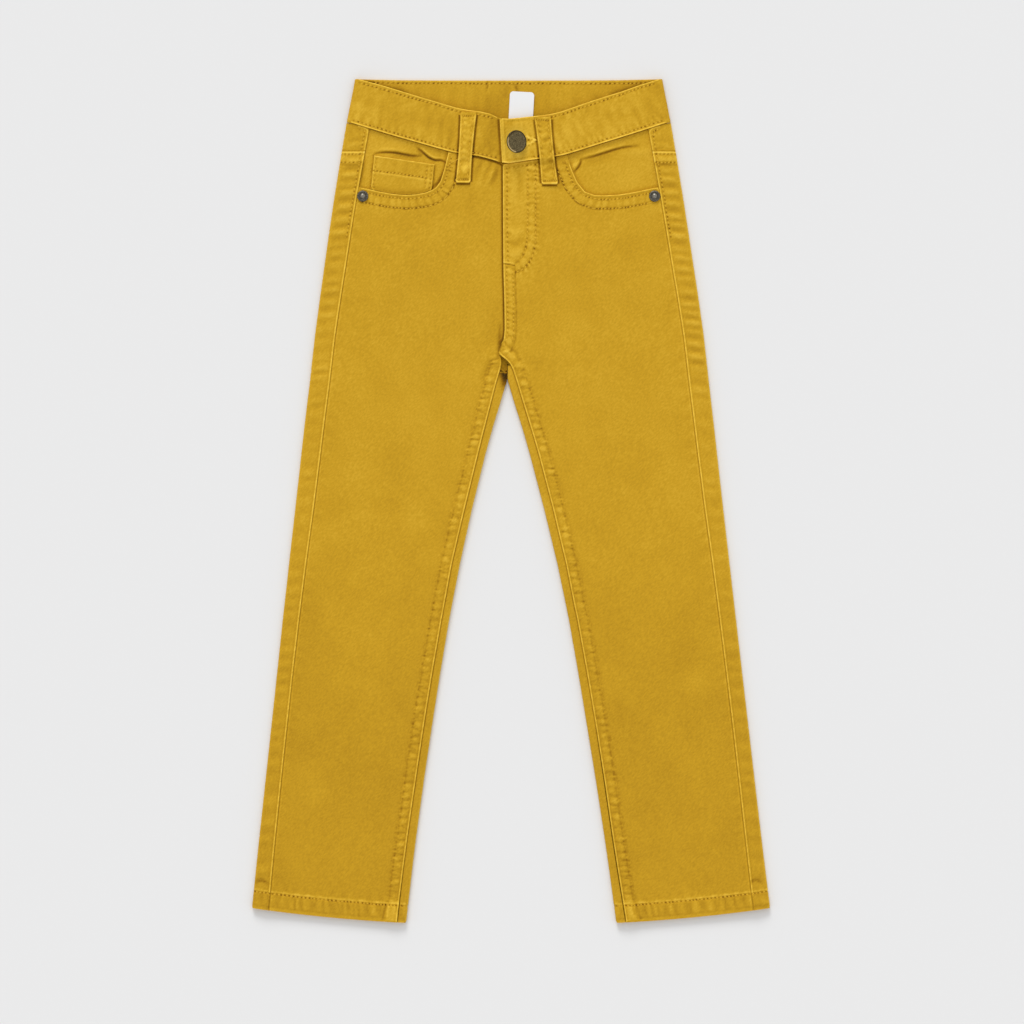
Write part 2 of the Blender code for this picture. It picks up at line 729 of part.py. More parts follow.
def build_waistband():
    """One strip right round the waist, its left end lapped over the right and buttoned."""
    arc = spread(5)[1:-1]
    stations = [("front", RIGHT, t) for t in (UNDERLAP_SHARE, UNDERLAP_SHARE / 2)]
    stations += [("front", RIGHT, t) for t in BAND_SHARES]
    stations += [("fold", RIGHT, t) for t in arc]
    stations += [("back", None, t) for t in spread(8, -1.0, 1.0)]
    stations += [("fold", LEFT, t) for t in reversed(arc)]
    stations += [("front", LEFT, t) for t in reversed(BAND_SHARES)]
    stations += [("front", LEFT, TAB_OVERHANG)]
    grids = []
    for depth in (0.0, BAND_CLOTH):
        grids.append([[band_point(s, w, depth) for w in spread(4)] for s in stations])
    wall("waistband", *grids, "twill")


# ---------------------------------------------------------------- what lies on it


def ground_height(side, x, y):
    """Height of the waistband or the front under a belt loop."""
    across = side * (x - level("mid", y))
    seam = edge(BAND_LOW, side, across)
    if y > seam - LOOP_CLEAR:
        return band_front_height(side, across)
    return front_height(side, across, y)


def build_belt_loop(loop):
    """A strap over the waistband, sewn down at both ends."""
    outer, inner = [], []
    for t in [0.0, 0.03, 0.15, 0.30, 0.45, 0.56, 0.62, 0.70, 0.82, 0.97, 1.0]:
        centre_x, y = lerp(loop.x0, loop.x1, t), lerp(loop.y0, loop.y1, t)
        width = lerp(loop.width0, loop.width1, t)
        width -= LOOP_PINCH * math.sin(math.pi * t)
        width -= LOOP_CORNER if t in (0.0, 1.0) else 0.0
        arch = LOOP_ARCH * math.sin(math.pi * min(t / LOOP_SEWN, 1.0))
        sides = [centre_x + width * (s - 0.5) for s in spread(4)]
        z = max(ground_height(loop.side, x, y) for x in sides) + SEAM_GAP + arch
        inner.append([(x, y, z) for x in sides])
        bevels = [LOOP_BEVEL, 0.0, 0.0, 0.0, LOOP_BEVEL]
        outer.append([(x, y, z + LOOP_CLOTH - low) for x, low in zip(sides, bevels)])
    wall(f"belt_loop_{SIDE_NAMES[loop.side]}", outer, inner, "twill")


def build_label():
    """The care label: a bare satin tab lying on the inside of the back waistband."""
    corner = LABEL_CORNER / LABEL_LENGTH
    base = BAND_CLOTH + SEAM_GAP
    outer, inner = [], []
    for t in [0.0, 0.5, 1.0 - corner, 1.0 - corner * 0.3, 1.0]:
        round_off = LABEL_CORNER * (1.0 - min((1.0 - t) / corner, 1.0)) ** 2
        along, row = t * LABEL_LENGTH, []
        for s in (-1.0, 0.0, 1.0):
            aside = s * (LABEL_WIDTH / 2 - round_off)
            x = LABEL_X + aside * math.cos(LABEL_LEAN) - along * math.sin(LABEL_LEAN)
            y = LABEL_LOW_Y + aside * math.sin(LABEL_LEAN) + along * math.cos(LABEL_LEAN)
            row.append((x, y))
        outer.append([(x, y, base + THIN_CLOTH) for x, y in row])
        inner.append([(x, y, base) for x, y in row])
    wall("care_label", outer, inner, "label_satin")


def build_button():
    """A shank button: a dished cap on a short stem that stands on the tab."""
    rim = BUTTON_RADIUS
    foot = STEM_RADIUS * math.sin(BUTTON_TIP) + SEAM_GAP - BUTTON_STAND
    foot /= math.cos(BUTTON_TIP)
    profile = [
        (0.0, foot),
        (STEM_RADIUS, foot),
        (STEM_RADIUS, 0.0),
        (rim * 0.92, 0.0),
        (rim, 0.5),
        (rim * 0.98, CAP_THICK * 0.8),
        (rim * 0.90, CAP_THICK),
        (rim * 0.84, CAP_THICK * 0.8),
        (rim * 0.5, CAP_THICK * 0.95),
        (0.0, CAP_THICK),
    ]

    def place(x, y, z):
        lean_x = x * math.cos(BUTTON_TIP) + z * math.sin(BUTTON_TIP)
        lean_z = z * math.cos(BUTTON_TIP) - x * math.sin(BUTTON_TIP)
        return (BUTTON_X + lean_x, BUTTON_Y + y, TAB_FRONT + BUTTON_STAND + lean_z)

    turned("button", profile, "antique_brass", place)


def build_rivet(side):
    """A rivet at the lower corner of a pocket mouth."""
    reach = RIVET_RADIUS
    across = side_seam_across(RIVET_Y) - RIVET_INSET
    x = level("mid", RIVET_Y) + side * across
    ground = max(
        front_height(side, across + reach * math.cos(turn), RIVET_Y + reach * math.sin(turn))
        for turn in spread(8, 0.0, 2 * math.pi)
    )
    profile = [
        (0.0, 0.0),
        (reach * 0.9, 0.0),
        (reach, 0.5),
        (reach * 0.86, 1.3),
        (reach * 0.5, 1.6),
        (reach * 0.38, 1.1),
        (reach * 0.2, 1.5),
        (0.0, 1.6),
    ]
    turned(
        f"rivet_{SIDE_NAMES[side]}",
        profile,
        "gunmetal",
        lambda dx, dy, dz: (x + dx, RIVET_Y + dy, ground + SEAM_GAP + dz),
    )


def main():
    for old in list(bpy.data.objects):
        bpy.data.objects.remove(old)
    for side in (RIGHT, LEFT):
        build_front_panel(side)
        build_back_panel(side)
        build_yoke(side)
        build_pocket_facing(side)
        build_rivet(side)
    build_coin_pocket()
    build_waistband()
    for loop in BELT_LOOPS:
        build_belt_loop(loop)
    build_label()
    build_button()


main()
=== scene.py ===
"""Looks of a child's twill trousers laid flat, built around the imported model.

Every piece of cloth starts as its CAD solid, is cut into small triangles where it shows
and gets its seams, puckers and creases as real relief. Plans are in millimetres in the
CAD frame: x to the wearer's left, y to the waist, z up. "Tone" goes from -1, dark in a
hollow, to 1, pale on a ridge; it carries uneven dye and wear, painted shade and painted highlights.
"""

import math

import bpy
import numpy as np
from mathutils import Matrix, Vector
from mathutils.bvhtree import BVHTree


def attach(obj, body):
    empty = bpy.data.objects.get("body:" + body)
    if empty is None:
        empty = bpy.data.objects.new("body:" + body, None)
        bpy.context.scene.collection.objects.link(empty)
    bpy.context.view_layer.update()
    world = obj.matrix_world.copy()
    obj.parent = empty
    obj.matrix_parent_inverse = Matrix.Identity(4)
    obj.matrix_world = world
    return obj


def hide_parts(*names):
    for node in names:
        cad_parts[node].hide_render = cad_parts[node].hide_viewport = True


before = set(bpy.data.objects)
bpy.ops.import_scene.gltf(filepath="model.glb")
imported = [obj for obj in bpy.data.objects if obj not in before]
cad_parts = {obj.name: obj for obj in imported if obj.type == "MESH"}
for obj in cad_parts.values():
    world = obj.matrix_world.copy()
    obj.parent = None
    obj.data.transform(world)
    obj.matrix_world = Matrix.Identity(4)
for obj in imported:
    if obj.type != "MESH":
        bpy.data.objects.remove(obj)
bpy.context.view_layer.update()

MM = 0.001
RIGHT, LEFT = -1, 1
NAMES = {RIGHT: "right", LEFT: "left"}
FAR = 1e6

# How finely cloth is cut: edge lengths on seams, in open cloth and where nothing shows.
SEAM_EDGE, OPEN_EDGE, HIDDEN_EDGE = 0.7, 3.0, 14.0
FINE_REACH = 1.4  # this far from a seam the cloth is cut at the seam's length
COARSEN = 0.42  # growth of an edge per millimetre beyond that
MAP_STEP = 1.0  # cell of the map that holds those lengths

STITCH = 3.4  # one stitch of topstitching
THREAD_RADIUS = 0.3
LAYER_REACH = 5.0  # a face this close to another layer of its piece looks inwards


# ------------------------------------------------------------ reading the frame


TINY = 1e-9


class Solid:
    """A CAD node's mesh in millimetres, each corner once."""

    def __init__(self, node):
        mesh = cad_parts[node].data
        mesh.calc_loop_triangles()
        points = np.empty(len(mesh.vertices) * 3)
        mesh.vertices.foreach_get("co", points)
        corners = np.empty(len(mesh.loop_triangles) * 3, int)
        mesh.loop_triangles.foreach_get("vertices", corners)
        rounded = np.round(points.reshape(-1, 3) / MM, 3)
        self.points, same = np.unique(rounded, axis=0, return_inverse=True)
        self.faces = same.reshape(-1)[corners].reshape(-1, 3)
        self.edges = edges_of(self.faces)[0]

    def cut(self, axis, at, above=-FAR):
        """Lowest and highest place along the other axis where the solid meets axis = at."""
        a, b = self.points[self.edges[:, 0]], self.points[self.edges[:, 1]]
        step = b[:, axis] - a[:, axis]
        hit = ((a[:, axis] - at) * (b[:, axis] - at) <= 0) & (abs(step) > TINY)
        a, b, step = a[hit], b[hit], step[hit]
        met = a + (b - a) * ((at - a[:, axis]) / step)[:, None]
        met = met[met[:, 2] > above]
        if not len(met):
            return None
        return met[:, 1 - axis].min(), met[:, 1 - axis].max()


def edges_of(faces):
    """The edges of triangles, and which edge each side of each triangle is."""
    size = int(faces.max()) + 1
    pairs = np.sort(np.concatenate([faces[:, [0, 1]], faces[:, [1, 2]], faces[:, [2, 0]]]), 1)
    keys, which = np.unique(pairs[:, 0] * size + pairs[:, 1], return_inverse=True)
    return np.stack([keys // size, keys % size], 1), which.reshape(3, -1).T


# ------------------------------------------------------------ lines in plan


def ease(value):
    value = np.clip(value, 0.0, 1.0)
    return value * value * (3.0 - 2.0 * value)


def between(value, low, high, fade):
    """1 from low to high, fading to 0 over a distance outside."""
    return ease((value - low) / fade + 1.0) * ease((high - value) / fade + 1.0)


PATH_STEP = 2.5
END_SLACK = 0.4  # how far beyond its ends a path still has something beside it


class Path:
    """A line in plan, in even steps, with a point on the side that counts as inside."""

    def __init__(self, points, inside, step=PATH_STEP, smooth=False):
        points = np.array(points, float)
        if smooth:
            points = smooth_line(points)
        length = np.append(0.0, np.cumsum(np.linalg.norm(np.diff(points, axis=0), axis=1)))
        count = max(2, int(length[-1] / step) + 1)
        even = np.linspace(0.0, length[-1], count)
        self.points = np.stack([np.interp(even, length, points[:, k]) for k in (0, 1)], 1)
        steps = np.diff(self.points, axis=0)
        self.lengths = np.linalg.norm(steps, axis=1)
        self.ways = steps / self.lengths[:, None]
        self.starts = np.append(0.0, np.cumsum(self.lengths))
        self.length = self.starts[-1]
        self.turn = 1.0
        across, _ = self.near(np.array([inside[0]]), np.array([inside[1]]), FAR, False)
        self.turn = 1.0 if across[0] > 0 else -1.0

    def near(self, x, y, reach=30.0, stops=True):
        """Distance across, positive inside, and distance along, for each point.

        Where it stops, the path has nothing beside it beyond its two ends.
        """
        across, along = np.full(x.shape, FAR), np.zeros(x.shape)
        low, high = self.points.min(0) - reach, self.points.max(0) + reach
        pick = np.flatnonzero((x > low[0]) & (x < high[0]) & (y > low[1]) & (y < high[1]))
        px, py = x[pick], y[pick]
        best = np.full(pick.shape, FAR * FAR)
        past = np.zeros(pick.shape, bool)
        last = len(self.ways) - 1
        signed, reached = np.full(pick.shape, FAR), np.zeros(pick.shape)
        for k, way in enumerate(self.ways):
            rx, ry = px - self.points[k, 0], py - self.points[k, 1]
            run = rx * way[0] + ry * way[1]
            t = np.clip(run, 0.0, self.lengths[k])
            off = (rx - t * way[0]) ** 2 + (ry - t * way[1]) ** 2
            nearer = off < best
            best[nearer] = off[nearer]
            side = np.sign(way[0] * ry - way[1] * rx)
            signed[nearer] = (np.sqrt(off) * np.where(side == 0, 1.0, side))[nearer]
            reached[nearer] = (self.starts[k] + t)[nearer]
            beyond = ((k == 0) & (run < -END_SLACK)) | ((k == last) & (run > self.lengths[k] + END_SLACK))
            past[nearer] = beyond[nearer]
        signed = signed * self.turn
        if stops:
            signed[past] = FAR
        across[pick], along[pick] = signed, reached
        return across, along

    def at(self, along, across=0.0):
        """Points beside the path, at distances along and across it."""
        k = np.clip(np.searchsorted(self.starts, along) - 1, 0, len(self.ways) - 1)
        x = np.interp(along, self.starts, self.points[:, 0])
        y = np.interp(along, self.starts, self.points[:, 1])
        way = self.ways[k]
        return np.stack([x - self.turn * across * way[:, 1], y + self.turn * across * way[:, 0]], 1)

    def moved(self, across):
        """The path that runs beside this one."""
        along = np.linspace(0.0, self.length, max(3, int(self.length / PATH_STEP)))
        inside = self.at(np.array([self.length / 2]), across + 1.0)[0]
        return Path(self.at(along, across), inside)


CURVE_PIECES = 6  # between two points of a smooth line


def smooth_line(points):
    """A Catmull-Rom curve through the points."""
    ends = np.concatenate([[2 * points[0] - points[1]], points, [2 * points[-1] - points[-2]]])
    t = np.linspace(0.0, 1.0, CURVE_PIECES, endpoint=False)[:, None]
    curve = []
    for a, b, c, d in zip(ends, ends[1:], ends[2:], ends[3:]):
        curve.append(
            0.5 * (2 * b + (c - a) * t + (2 * a - 5 * b + 4 * c - d) * t**2
                   + (3 * b - a - 3 * c + d) * t**3)
        )
    return np.concatenate([*curve, points[-1:]])


PHOTO_SIZE = 1024  # pixels, both ways
PHOTO_SCALE = 0.782  # millimetres to a pixel
PHOTO_MIDDLE_X, PHOTO_MIDDLE_Y = 511.0, 501.0
UPWARDS = np.array([0.0, 1.0])  # in plan


def px(x, y):
    """A place seen in the photograph, as x and y on the garment, in millimetres."""
    return np.array([(x - PHOTO_MIDDLE_X) * PHOTO_SCALE, (PHOTO_MIDDLE_Y - y) * PHOTO_SCALE])


def drawn(places, inside=None, step=PATH_STEP, smooth=True):
    """A path through places in the photograph; its inside is its upper side if none is given."""
    points = [px(*place) for place in places]
    if inside is None:
        inside = points[0] + UPWARDS
    return Path(points, inside, step, smooth)


# ------------------------------------------------------------ cutting cloth into triangles


def length_map(solid, paths, open_edge, patches=()):
    """A function of x and y that gives the edge length wanted there."""
    low = solid.points.min(0)[:2] - 3.0
    high = solid.points.max(0)[:2] + 3.0
    nx, ny = (np.ceil((high - low) / MAP_STEP) + 1).astype(int)
    x, y = np.meshgrid(low[0] + MAP_STEP * np.arange(nx), low[1] + MAP_STEP * np.arange(ny))
    x, y = x.ravel(), y.ravel()
    wanted = np.full(x.shape, open_edge)
    reach = FINE_REACH + open_edge / COARSEN
    for path in paths:
        off = abs(path.near(x, y, reach)[0])
        wanted = np.minimum(wanted, SEAM_EDGE + COARSEN * np.maximum(0.0, off - FINE_REACH))
    for path, start, end, length in patches:
        across = path.near(x, y, 40.0)[0]
        wanted = np.where((across > start) & (across < end), np.minimum(wanted, length), wanted)
    wanted = wanted.reshape(ny, nx)

    def look_up(px, py):
        i = np.clip(((py - low[1]) / MAP_STEP).round().astype(int), 0, ny - 1)
        j = np.clip(((px - low[0]) / MAP_STEP).round().astype(int), 0, nx - 1)
        return wanted[i, j]

    return look_up


MOST_SPLITS = 12


def refine(points, faces, shows, wanted):
    """Splits the edges that are too long, as often as it takes."""
    for _ in range(MOST_SPLITS):
        edges, which = edges_of(faces)
        a, b = points[edges[:, 0]], points[edges[:, 1]]
        middle = (a + b) / 2
        seen = shows[edges[:, 0]] & shows[edges[:, 1]]
        limit = np.where(seen, wanted(middle[:, 0], middle[:, 1]), HIDDEN_EDGE)
        split = np.linalg.norm(a - b, axis=1) > 1.35 * limit
        if not split.any():
            break
        number = np.full(len(edges), -1)
        number[split] = len(points) + np.arange(split.sum())
        points = np.concatenate([points, middle[split]])
        shows = np.concatenate([shows, seen[split]])
        faces = split_faces(points, faces, number[which])
    return points, faces, shows


def split_faces(points, faces, mids):
    """Each triangle as 1 to 4 new ones; mids has the new point on each side, or -1."""
    marks = (mids >= 0).sum(1)
    made = [faces[marks == 0]]
    for count in (1, 2):
        f, m = faces[marks == count], mids[marks == count]
        # Turned so that the one split side, or the first of the two, comes first.
        first = m >= 0
        if count == 1:
            turn = first.argmax(1)
        else:
            turn = (first & np.roll(first, -1, 1)).argmax(1)
        pick = (turn[:, None] + np.arange(3)) % 3
        f, m = np.take_along_axis(f, pick, 1), np.take_along_axis(m, pick, 1)
        a, b, c, ab, bc = f[:, 0], f[:, 1], f[:, 2], m[:, 0], m[:, 1]
        if count == 1:
            made += [np.stack([a, ab, c], 1), np.stack([ab, b, c], 1)]
            continue
        made.append(np.stack([ab, b, bc], 1))
        short = np.linalg.norm(points[a] - points[bc], axis=1)
        short = short < np.linalg.norm(points[ab] - points[c], axis=1)
        made.append(np.where(short[:, None], np.stack([a, ab, bc], 1), np.stack([a, ab, c], 1)))
        made.append(np.where(short[:, None], np.stack([a, bc, c], 1), np.stack([ab, bc, c], 1)))
    f, m = faces[marks == 3], mids[marks == 3]
    for k in range(3):
        made.append(np.stack([f[:, k], m[:, k], m[:, k - 1]], 1))
    made.append(m)
    return np.concatenate(made)


def normals_of(points, faces):
    a, b, c = (points[faces[:, k]] for k in range(3))
    normal = np.cross(b - a, c - a)
    return normal / np.maximum(np.linalg.norm(normal, axis=1), 1e-12)[:, None]


# Cosines of the bends from which an edge is a crease, and a crease has a corner.
CREASE_BEND, CORNER_BEND = 0.5, 0.75
SMOOTHING = (0.55, -0.57)  # a step inwards and one back, so that nothing shrinks


def soften(points, faces, shows, rounds):
    """Rounds the facets of the CAD solid off where it shows, and keeps its edges."""
    edges, which = edges_of(faces)
    normals = normals_of(points, faces)
    total = np.zeros((len(edges), 3))
    for k in range(3):
        for side in range(3):
            total[:, k] += np.bincount(which[:, side], normals[:, k], len(edges))
    # The sum of two unit normals is 2 cos(half the angle between them) long.
    crease = (total**2).sum(1) / 2 - 1 < CREASE_BEND
    size = len(points)
    on_crease = np.bincount(edges[crease].ravel(), minlength=size)
    fixed = ~shows | (on_crease == 1) | (on_crease > 2)
    fixed[corners_of(points, edges[crease], on_crease == 2)] = True
    # Points on a crease are drawn only along it, the rest by all that they touch.
    here, there = [], []
    for a, b in ((0, 1), (1, 0)):
        drawn = (on_crease[edges[:, a]] == 0) | crease
        here.append(edges[drawn, a])
        there.append(edges[drawn, b])
    here, there = np.concatenate(here), np.concatenate(there)
    # Nearer neighbours draw harder, so that uneven triangles don't bend the surface.
    pull = 1.0 / np.maximum(np.linalg.norm(points[here] - points[there], axis=1), 0.25)
    weight = np.maximum(np.bincount(here, pull, size), 1e-9)
    points = points.copy()
    for _ in range(rounds):
        for share in SMOOTHING:
            mean = np.stack(
                [np.bincount(here, points[there, k] * pull, size) / weight for k in range(3)], 1
            )
            points[~fixed] += share * (mean - points)[~fixed]
    return points


def corners_of(points, edges, both):
    """Points where two crease edges meet at a sharp turn."""
    chain = np.full((len(points), 2), -1)
    ends = np.concatenate([edges, edges[:, ::-1]])
    ends = ends[np.argsort(ends[:, 0], kind="stable")]
    later = np.append(False, ends[1:, 0] == ends[:-1, 0])
    chain[ends[~later, 0], 0] = ends[~later, 1]
    chain[ends[later, 0], 1] = ends[later, 1]
    spots = np.flatnonzero(both)
    one = points[chain[spots, 0]] - points[spots]
    two = points[chain[spots, 1]] - points[spots]
    bend = (one * two).sum(1) / (np.linalg.norm(one, axis=1) * np.linalg.norm(two, axis=1))
    return spots[bend > -CORNER_BEND]


# ------------------------------------------------------------ relief


CLOUD_CELLS = 64  # after so many, the blotches repeat
WAVED_LENGTH = 900  # longer than any seam


def clouds(x, y, size, seed):
    """Soft uneven blotches of about this size, mostly within -1 to 1."""
    draw = np.random.default_rng(seed)
    grid = draw.standard_normal((CLOUD_CELLS, CLOUD_CELLS))
    turn = draw.uniform(0.3, 1.2)
    u = (x * math.cos(turn) - y * math.sin(turn)) / size + 900.0
    v = (x * math.sin(turn) + y * math.cos(turn)) / size + 900.0
    i, j = np.floor(u).astype(int), np.floor(v).astype(int)
    s, t = ease(u - i), ease(v - j)
    i, j, right, above = (k % CLOUD_CELLS for k in (i, j, i + 1, j + 1))
    a, b, c, d = grid[i, j], grid[right, j], grid[i, above], grid[right, above]
    return 0.6 * ((a * (1 - s) + b * s) * (1 - t) + (c * (1 - s) + d * s) * t)


def uneven_wave(along, pitch, seed, spread=0.35):
    """A wave along a seam whose length and strength vary."""
    draw = np.random.default_rng(seed)
    count = int(WAVED_LENGTH / pitch)
    knots = np.cumsum(pitch * draw.uniform(1 - spread, 1 + spread, count)) - 3 * pitch
    phase = np.interp(along, knots, np.arange(count))
    strength = np.interp(phase, np.arange(count), draw.uniform(0.35, 1.15, count))
    return np.cos(2 * math.pi * phase) * strength


class Row:
    """One row of topstitching beside a path."""

    def __init__(self, path, across, start=0.0, end=None, pitch=STITCH, depth=0.3, seed=1,
                 uneven=0.12, sunk=False):
        self.path, self.across, self.depth, self.pitch = path, across, depth, pitch
        self.sunk = sunk  # so deep in the cloth that its thread doesn't show
        end = path.length if end is None else end
        draw = np.random.default_rng(seed + int(10 * abs(across)) + int(end))
        count = max(2, int((end - start) / pitch))
        steps = pitch * draw.uniform(1 - uneven, 1 + uneven, count)
        self.holes = start + np.append(0.0, np.cumsum(steps))
        self.holes = self.holes[self.holes <= end]
        self.sway = 0.2 * np.cumsum(draw.uniform(-1, 1, len(self.holes)))
        self.sway -= np.linspace(0, self.sway[-1], len(self.sway))
        self.sway = np.clip(self.sway, -0.35, 0.35)
        self.force = draw.uniform(0.35, 1.3, len(self.holes))


LEG_DARK_FROM, LEG_DARK_OVER, LEG_DARK = 40.0, 240.0, -0.17
UNEVEN_PITCH = 9.0


class Relief:
    """Heights and tones gathered over the points of one side of a piece."""

    def __init__(self, x, y):
        self.x, self.y = x, y
        self.z, self.tone = np.zeros(x.shape), np.zeros(x.shape)
        self.rows = []
        self.seen = {}

    def near(self, path):
        if path not in self.seen:
            self.seen[path] = path.near(self.x, self.y)
        return self.seen[path]

    def add(self, shape, height, tone):
        self.z += shape * height
        self.tone += shape * tone

    def line(self, path, across, width, height, tone, start=-FAR, end=FAR, fade=4.0,
             uneven=0.0):
        off, along = self.near(path)
        shape = np.exp(-(((off - across) / width) ** 2)) * between(along, start, end, fade)
        if uneven:
            shape *= 1.0 + uneven * uneven_wave(along, UNEVEN_PITCH, int(path.length), 0.5)
        self.add(shape, height, tone)

    def hem_edge(self, path, height, tone, drop=0.3, uneven=0.3, **part):
        """A turned edge: it rolls down at its very rim, in painted shade, and beside it is pale from wear
        and a painted highlight.
        """
        self.line(path, 0.0, 0.3, -drop, -0.3, **part)
        self.line(path, 0.5, 0.38, height, tone, uneven=uneven, **part)

    def stitches(self, row, tone=-1.0, trough=0.1, light=0.35, long=0.78):
        """A row's trough and its needle holes, darkened with painted shade, and the cloth that swells
        between them, with a painted highlight.
        """
        self.rows.append(row)
        if not len(row.holes):
            return
        off, along = self.near(row.path)
        off = off - row.across - np.interp(along, row.holes, row.sway)
        inside = between(along, row.holes[0], row.holes[-1], 1.5)
        self.add(np.exp(-((off / 0.95) ** 2)) * inside, -trough, -0.15)
        nearest = np.clip(np.searchsorted(row.holes, along), 1, len(row.holes) - 1)
        left, right = row.holes[nearest - 1], row.holes[nearest]
        pick = np.where(along - left < right - along, nearest - 1, nearest)
        gap = along - row.holes[pick]
        # The thread draws each hole out along the row and to one side.
        hole = np.exp(-(((off + 0.3 * gap) / 0.52) ** 2) - (gap / long) ** 2) * row.force[pick]
        self.add(hole, -row.depth, tone)
        middle = np.clip(1.0 - abs(gap) / (0.5 * row.pitch), 0.0, 1.0)
        swell = np.exp(-((off / 1.1) ** 2)) * (1.0 - ease(middle * 1.6)) * inside
        self.add(swell * row.force[pick], 0.1, light)

    def puckers(self, path, low, high, pitch, slant, height, tone, seed, start=-FAR, end=FAR,
                fade=12.0, spread=0.35):
        """Uneven waves in a band beside a path, with a painted highlight on the crests and painted shade
        in the troughs.
        """
        off, along = self.near(path)
        wave = uneven_wave(along + slant * off, pitch, seed, spread)
        share = np.clip((off - low) / (high - low), 0.0, 1.0)
        shape = np.sin(math.pi * share) ** 0.8 * wave * between(along, start, end, fade)
        self.add(shape, height, tone)

    def lobes(self, path, low, high, pitch, slant, height, tone, seed, start=-FAR, end=FAR,
              fade=8.0, pinch=1.0):
        """Swellings in a band beside a path, with a painted highlight, and pinches in painted shade
        between them at its borders.
        """
        off, along = self.near(path)
        draw = np.random.default_rng(seed)
        count = int(path.length / pitch) + 14
        knots = np.cumsum(pitch * draw.uniform(0.72, 1.28, count)) - 5 * pitch
        size = draw.uniform(0.3, 1.15, count)
        aside = draw.uniform(-0.14, 0.14, count)
        depth = draw.uniform(0.25, 1.2, count + 1)
        phase = np.interp(along + slant * off, knots, np.arange(count))
        lobe = np.clip(np.rint(phase).astype(int), 0, count - 1)
        part = phase - lobe
        share = (off - low) / (high - low)
        round_off = ((share - 0.5 - aside[lobe]) / 0.46) ** 2 + (part / 0.44) ** 2
        swelling = np.clip(1.0 - round_off, 0.0, 1.0) ** 0.7 * size[lobe]
        border = np.exp(-(((share - 0.86) / 0.17) ** 2)) + np.exp(-(((share - 0.16) / 0.15) ** 2))
        gap = np.exp(-(((0.5 - abs(part)) / 0.14) ** 2)) * depth[np.floor(phase).astype(int) % count]
        band = between(along, start, end, fade)
        self.add(swelling * band, height, tone)
        self.add(gap * border * band, -0.7 * height * pinch, -1.1 * tone * pinch)
        middle = np.exp(-(((share - 0.5) / 0.3) ** 2))
        self.add(gap * middle * band, -0.5 * height, -0.5 * tone * pinch)

    def pinches(self, path, lows, highs, pitch, height, tone, seed, start=-FAR, end=FAR):
        """Short creases across a band beside a path, uneven in place, length and strength, darkened with
        painted shade.
        """
        off, along = self.near(path)
        draw = np.random.default_rng(seed)
        count = int(path.length / pitch) + 4
        spots = np.cumsum(pitch * draw.uniform(0.45, 1.55, count))
        low, high = draw.uniform(*lows, count), draw.uniform(*highs, count)
        slant, strength = draw.uniform(-0.45, 0.45, count), draw.uniform(0.25, 1.25, count)
        k = np.clip(np.searchsorted((spots[1:] + spots[:-1]) / 2, along), 0, count - 1)
        gap = along - spots[k] + slant[k] * (off - high[k])
        shape = np.exp(-((gap / 0.7) ** 2)) * between(off, low[k], high[k], 1.0) * strength[k]
        self.add(shape * between(along, start, end, 6.0), height, tone)

    def creases(self, table):
        """Folds placed one by one: soft ridges, or troughs where the height is below 0.

        Each has its places in the photograph, its width, its height and its tone, which paints a
        highlight on a ridge and shade in a trough.
        """
        for places, width, height, tone in table:
            path = drawn(places, step=1.5)
            off, along = path.near(self.x, self.y)
            taper = np.sin(math.pi * np.clip(along / path.length, 0.0, 1.0)) ** 0.6
            inside = (along > 0) & (along < path.length)
            self.add(np.exp(-((off / width) ** 2)) * taper * inside, height, tone)

    def dye(self, tone):
        """The same tone all over."""
        self.tone += tone

    def mottle(self, seed, low=0.12, tone=0.16):
        self.add(clouds(self.x, self.y, 45.0, seed), low, 0.0)
        self.add(clouds(self.x, self.y, 18.0, seed + 1), 0.1 * low, 0.4 * tone)
        self.add(clouds(self.x, self.y, 6.0, seed + 2), 0.0, 0.15 * tone)
        # The legs are a little darker than the hips, more so towards the hems.
        self.add(ease((LEG_DARK_FROM - self.y) / LEG_DARK_OVER), 0.0, LEG_DARK)


# ------------------------------------------------------------ seam lines, from the frame


SOLIDS = {name: Solid(name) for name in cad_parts}


def edge_line(node, axis, places, pick, above=-FAR):
    """The edge of a node in plan: pick 0 is its lower side, 1 its higher one."""
    line = []
    for at in places:
        met = SOLIDS[node].cut(axis, at, above)
        if met is None:
            continue
        point = [0.0, 0.0]
        point[axis], point[1 - axis] = at, met[pick]
        line.append(point)
    return line


def pair(stem):
    """The names of a right and a left node."""
    return {side: f"{stem}_{NAMES[side]}" for side in NAMES}


FRONT, BACK, YOKE = pair("front_panel"), pair("back_panel"), pair("yoke")
FACING, LOOP, RIVET = pair("pocket_facing"), pair("belt_loop"), pair("rivet")
# Which end of a slice across a leg is its outer side, and which its inner one.
SLICE_ENDS = {RIGHT: (0, 1), LEFT: (1, 0)}
LAP_Z = 2.6  # above this height, a slice through a leg meets only its upper cloth


def hem_ends(node, side):
    """x of the two lower corners of a leg, just inside them."""
    points = SOLIDS[node].points
    ends = [points[(side * points[:, 0]).argmax(), 0], points[points[:, 1].argmin(), 0]]
    return min(ends) + 0.2, max(ends) - 0.2


CROTCH_Y = {RIGHT: 115.0, LEFT: 116.5}  # where each front's inseam turns into its rise
# y, and how far the front's edge lies over its smooth line there, or short of it.
INSEAM_WAVER = {
    RIGHT: [(-310.0, -0.4), (-220.0, 0.9), (-170.0, 1.2), (-90.0, 2.1), (-30.0, 1.0), (50.0, 0.0)],
    LEFT: [(-310.0, -0.6), (-220.0, -0.6), (-150.0, 0.3), (-80.0, 1.4), (-30.0, 1.1), (50.0, 0.2)],
}
STRIP_ALONE_Y = 148.0  # above this, the strip is the only back cloth that shows


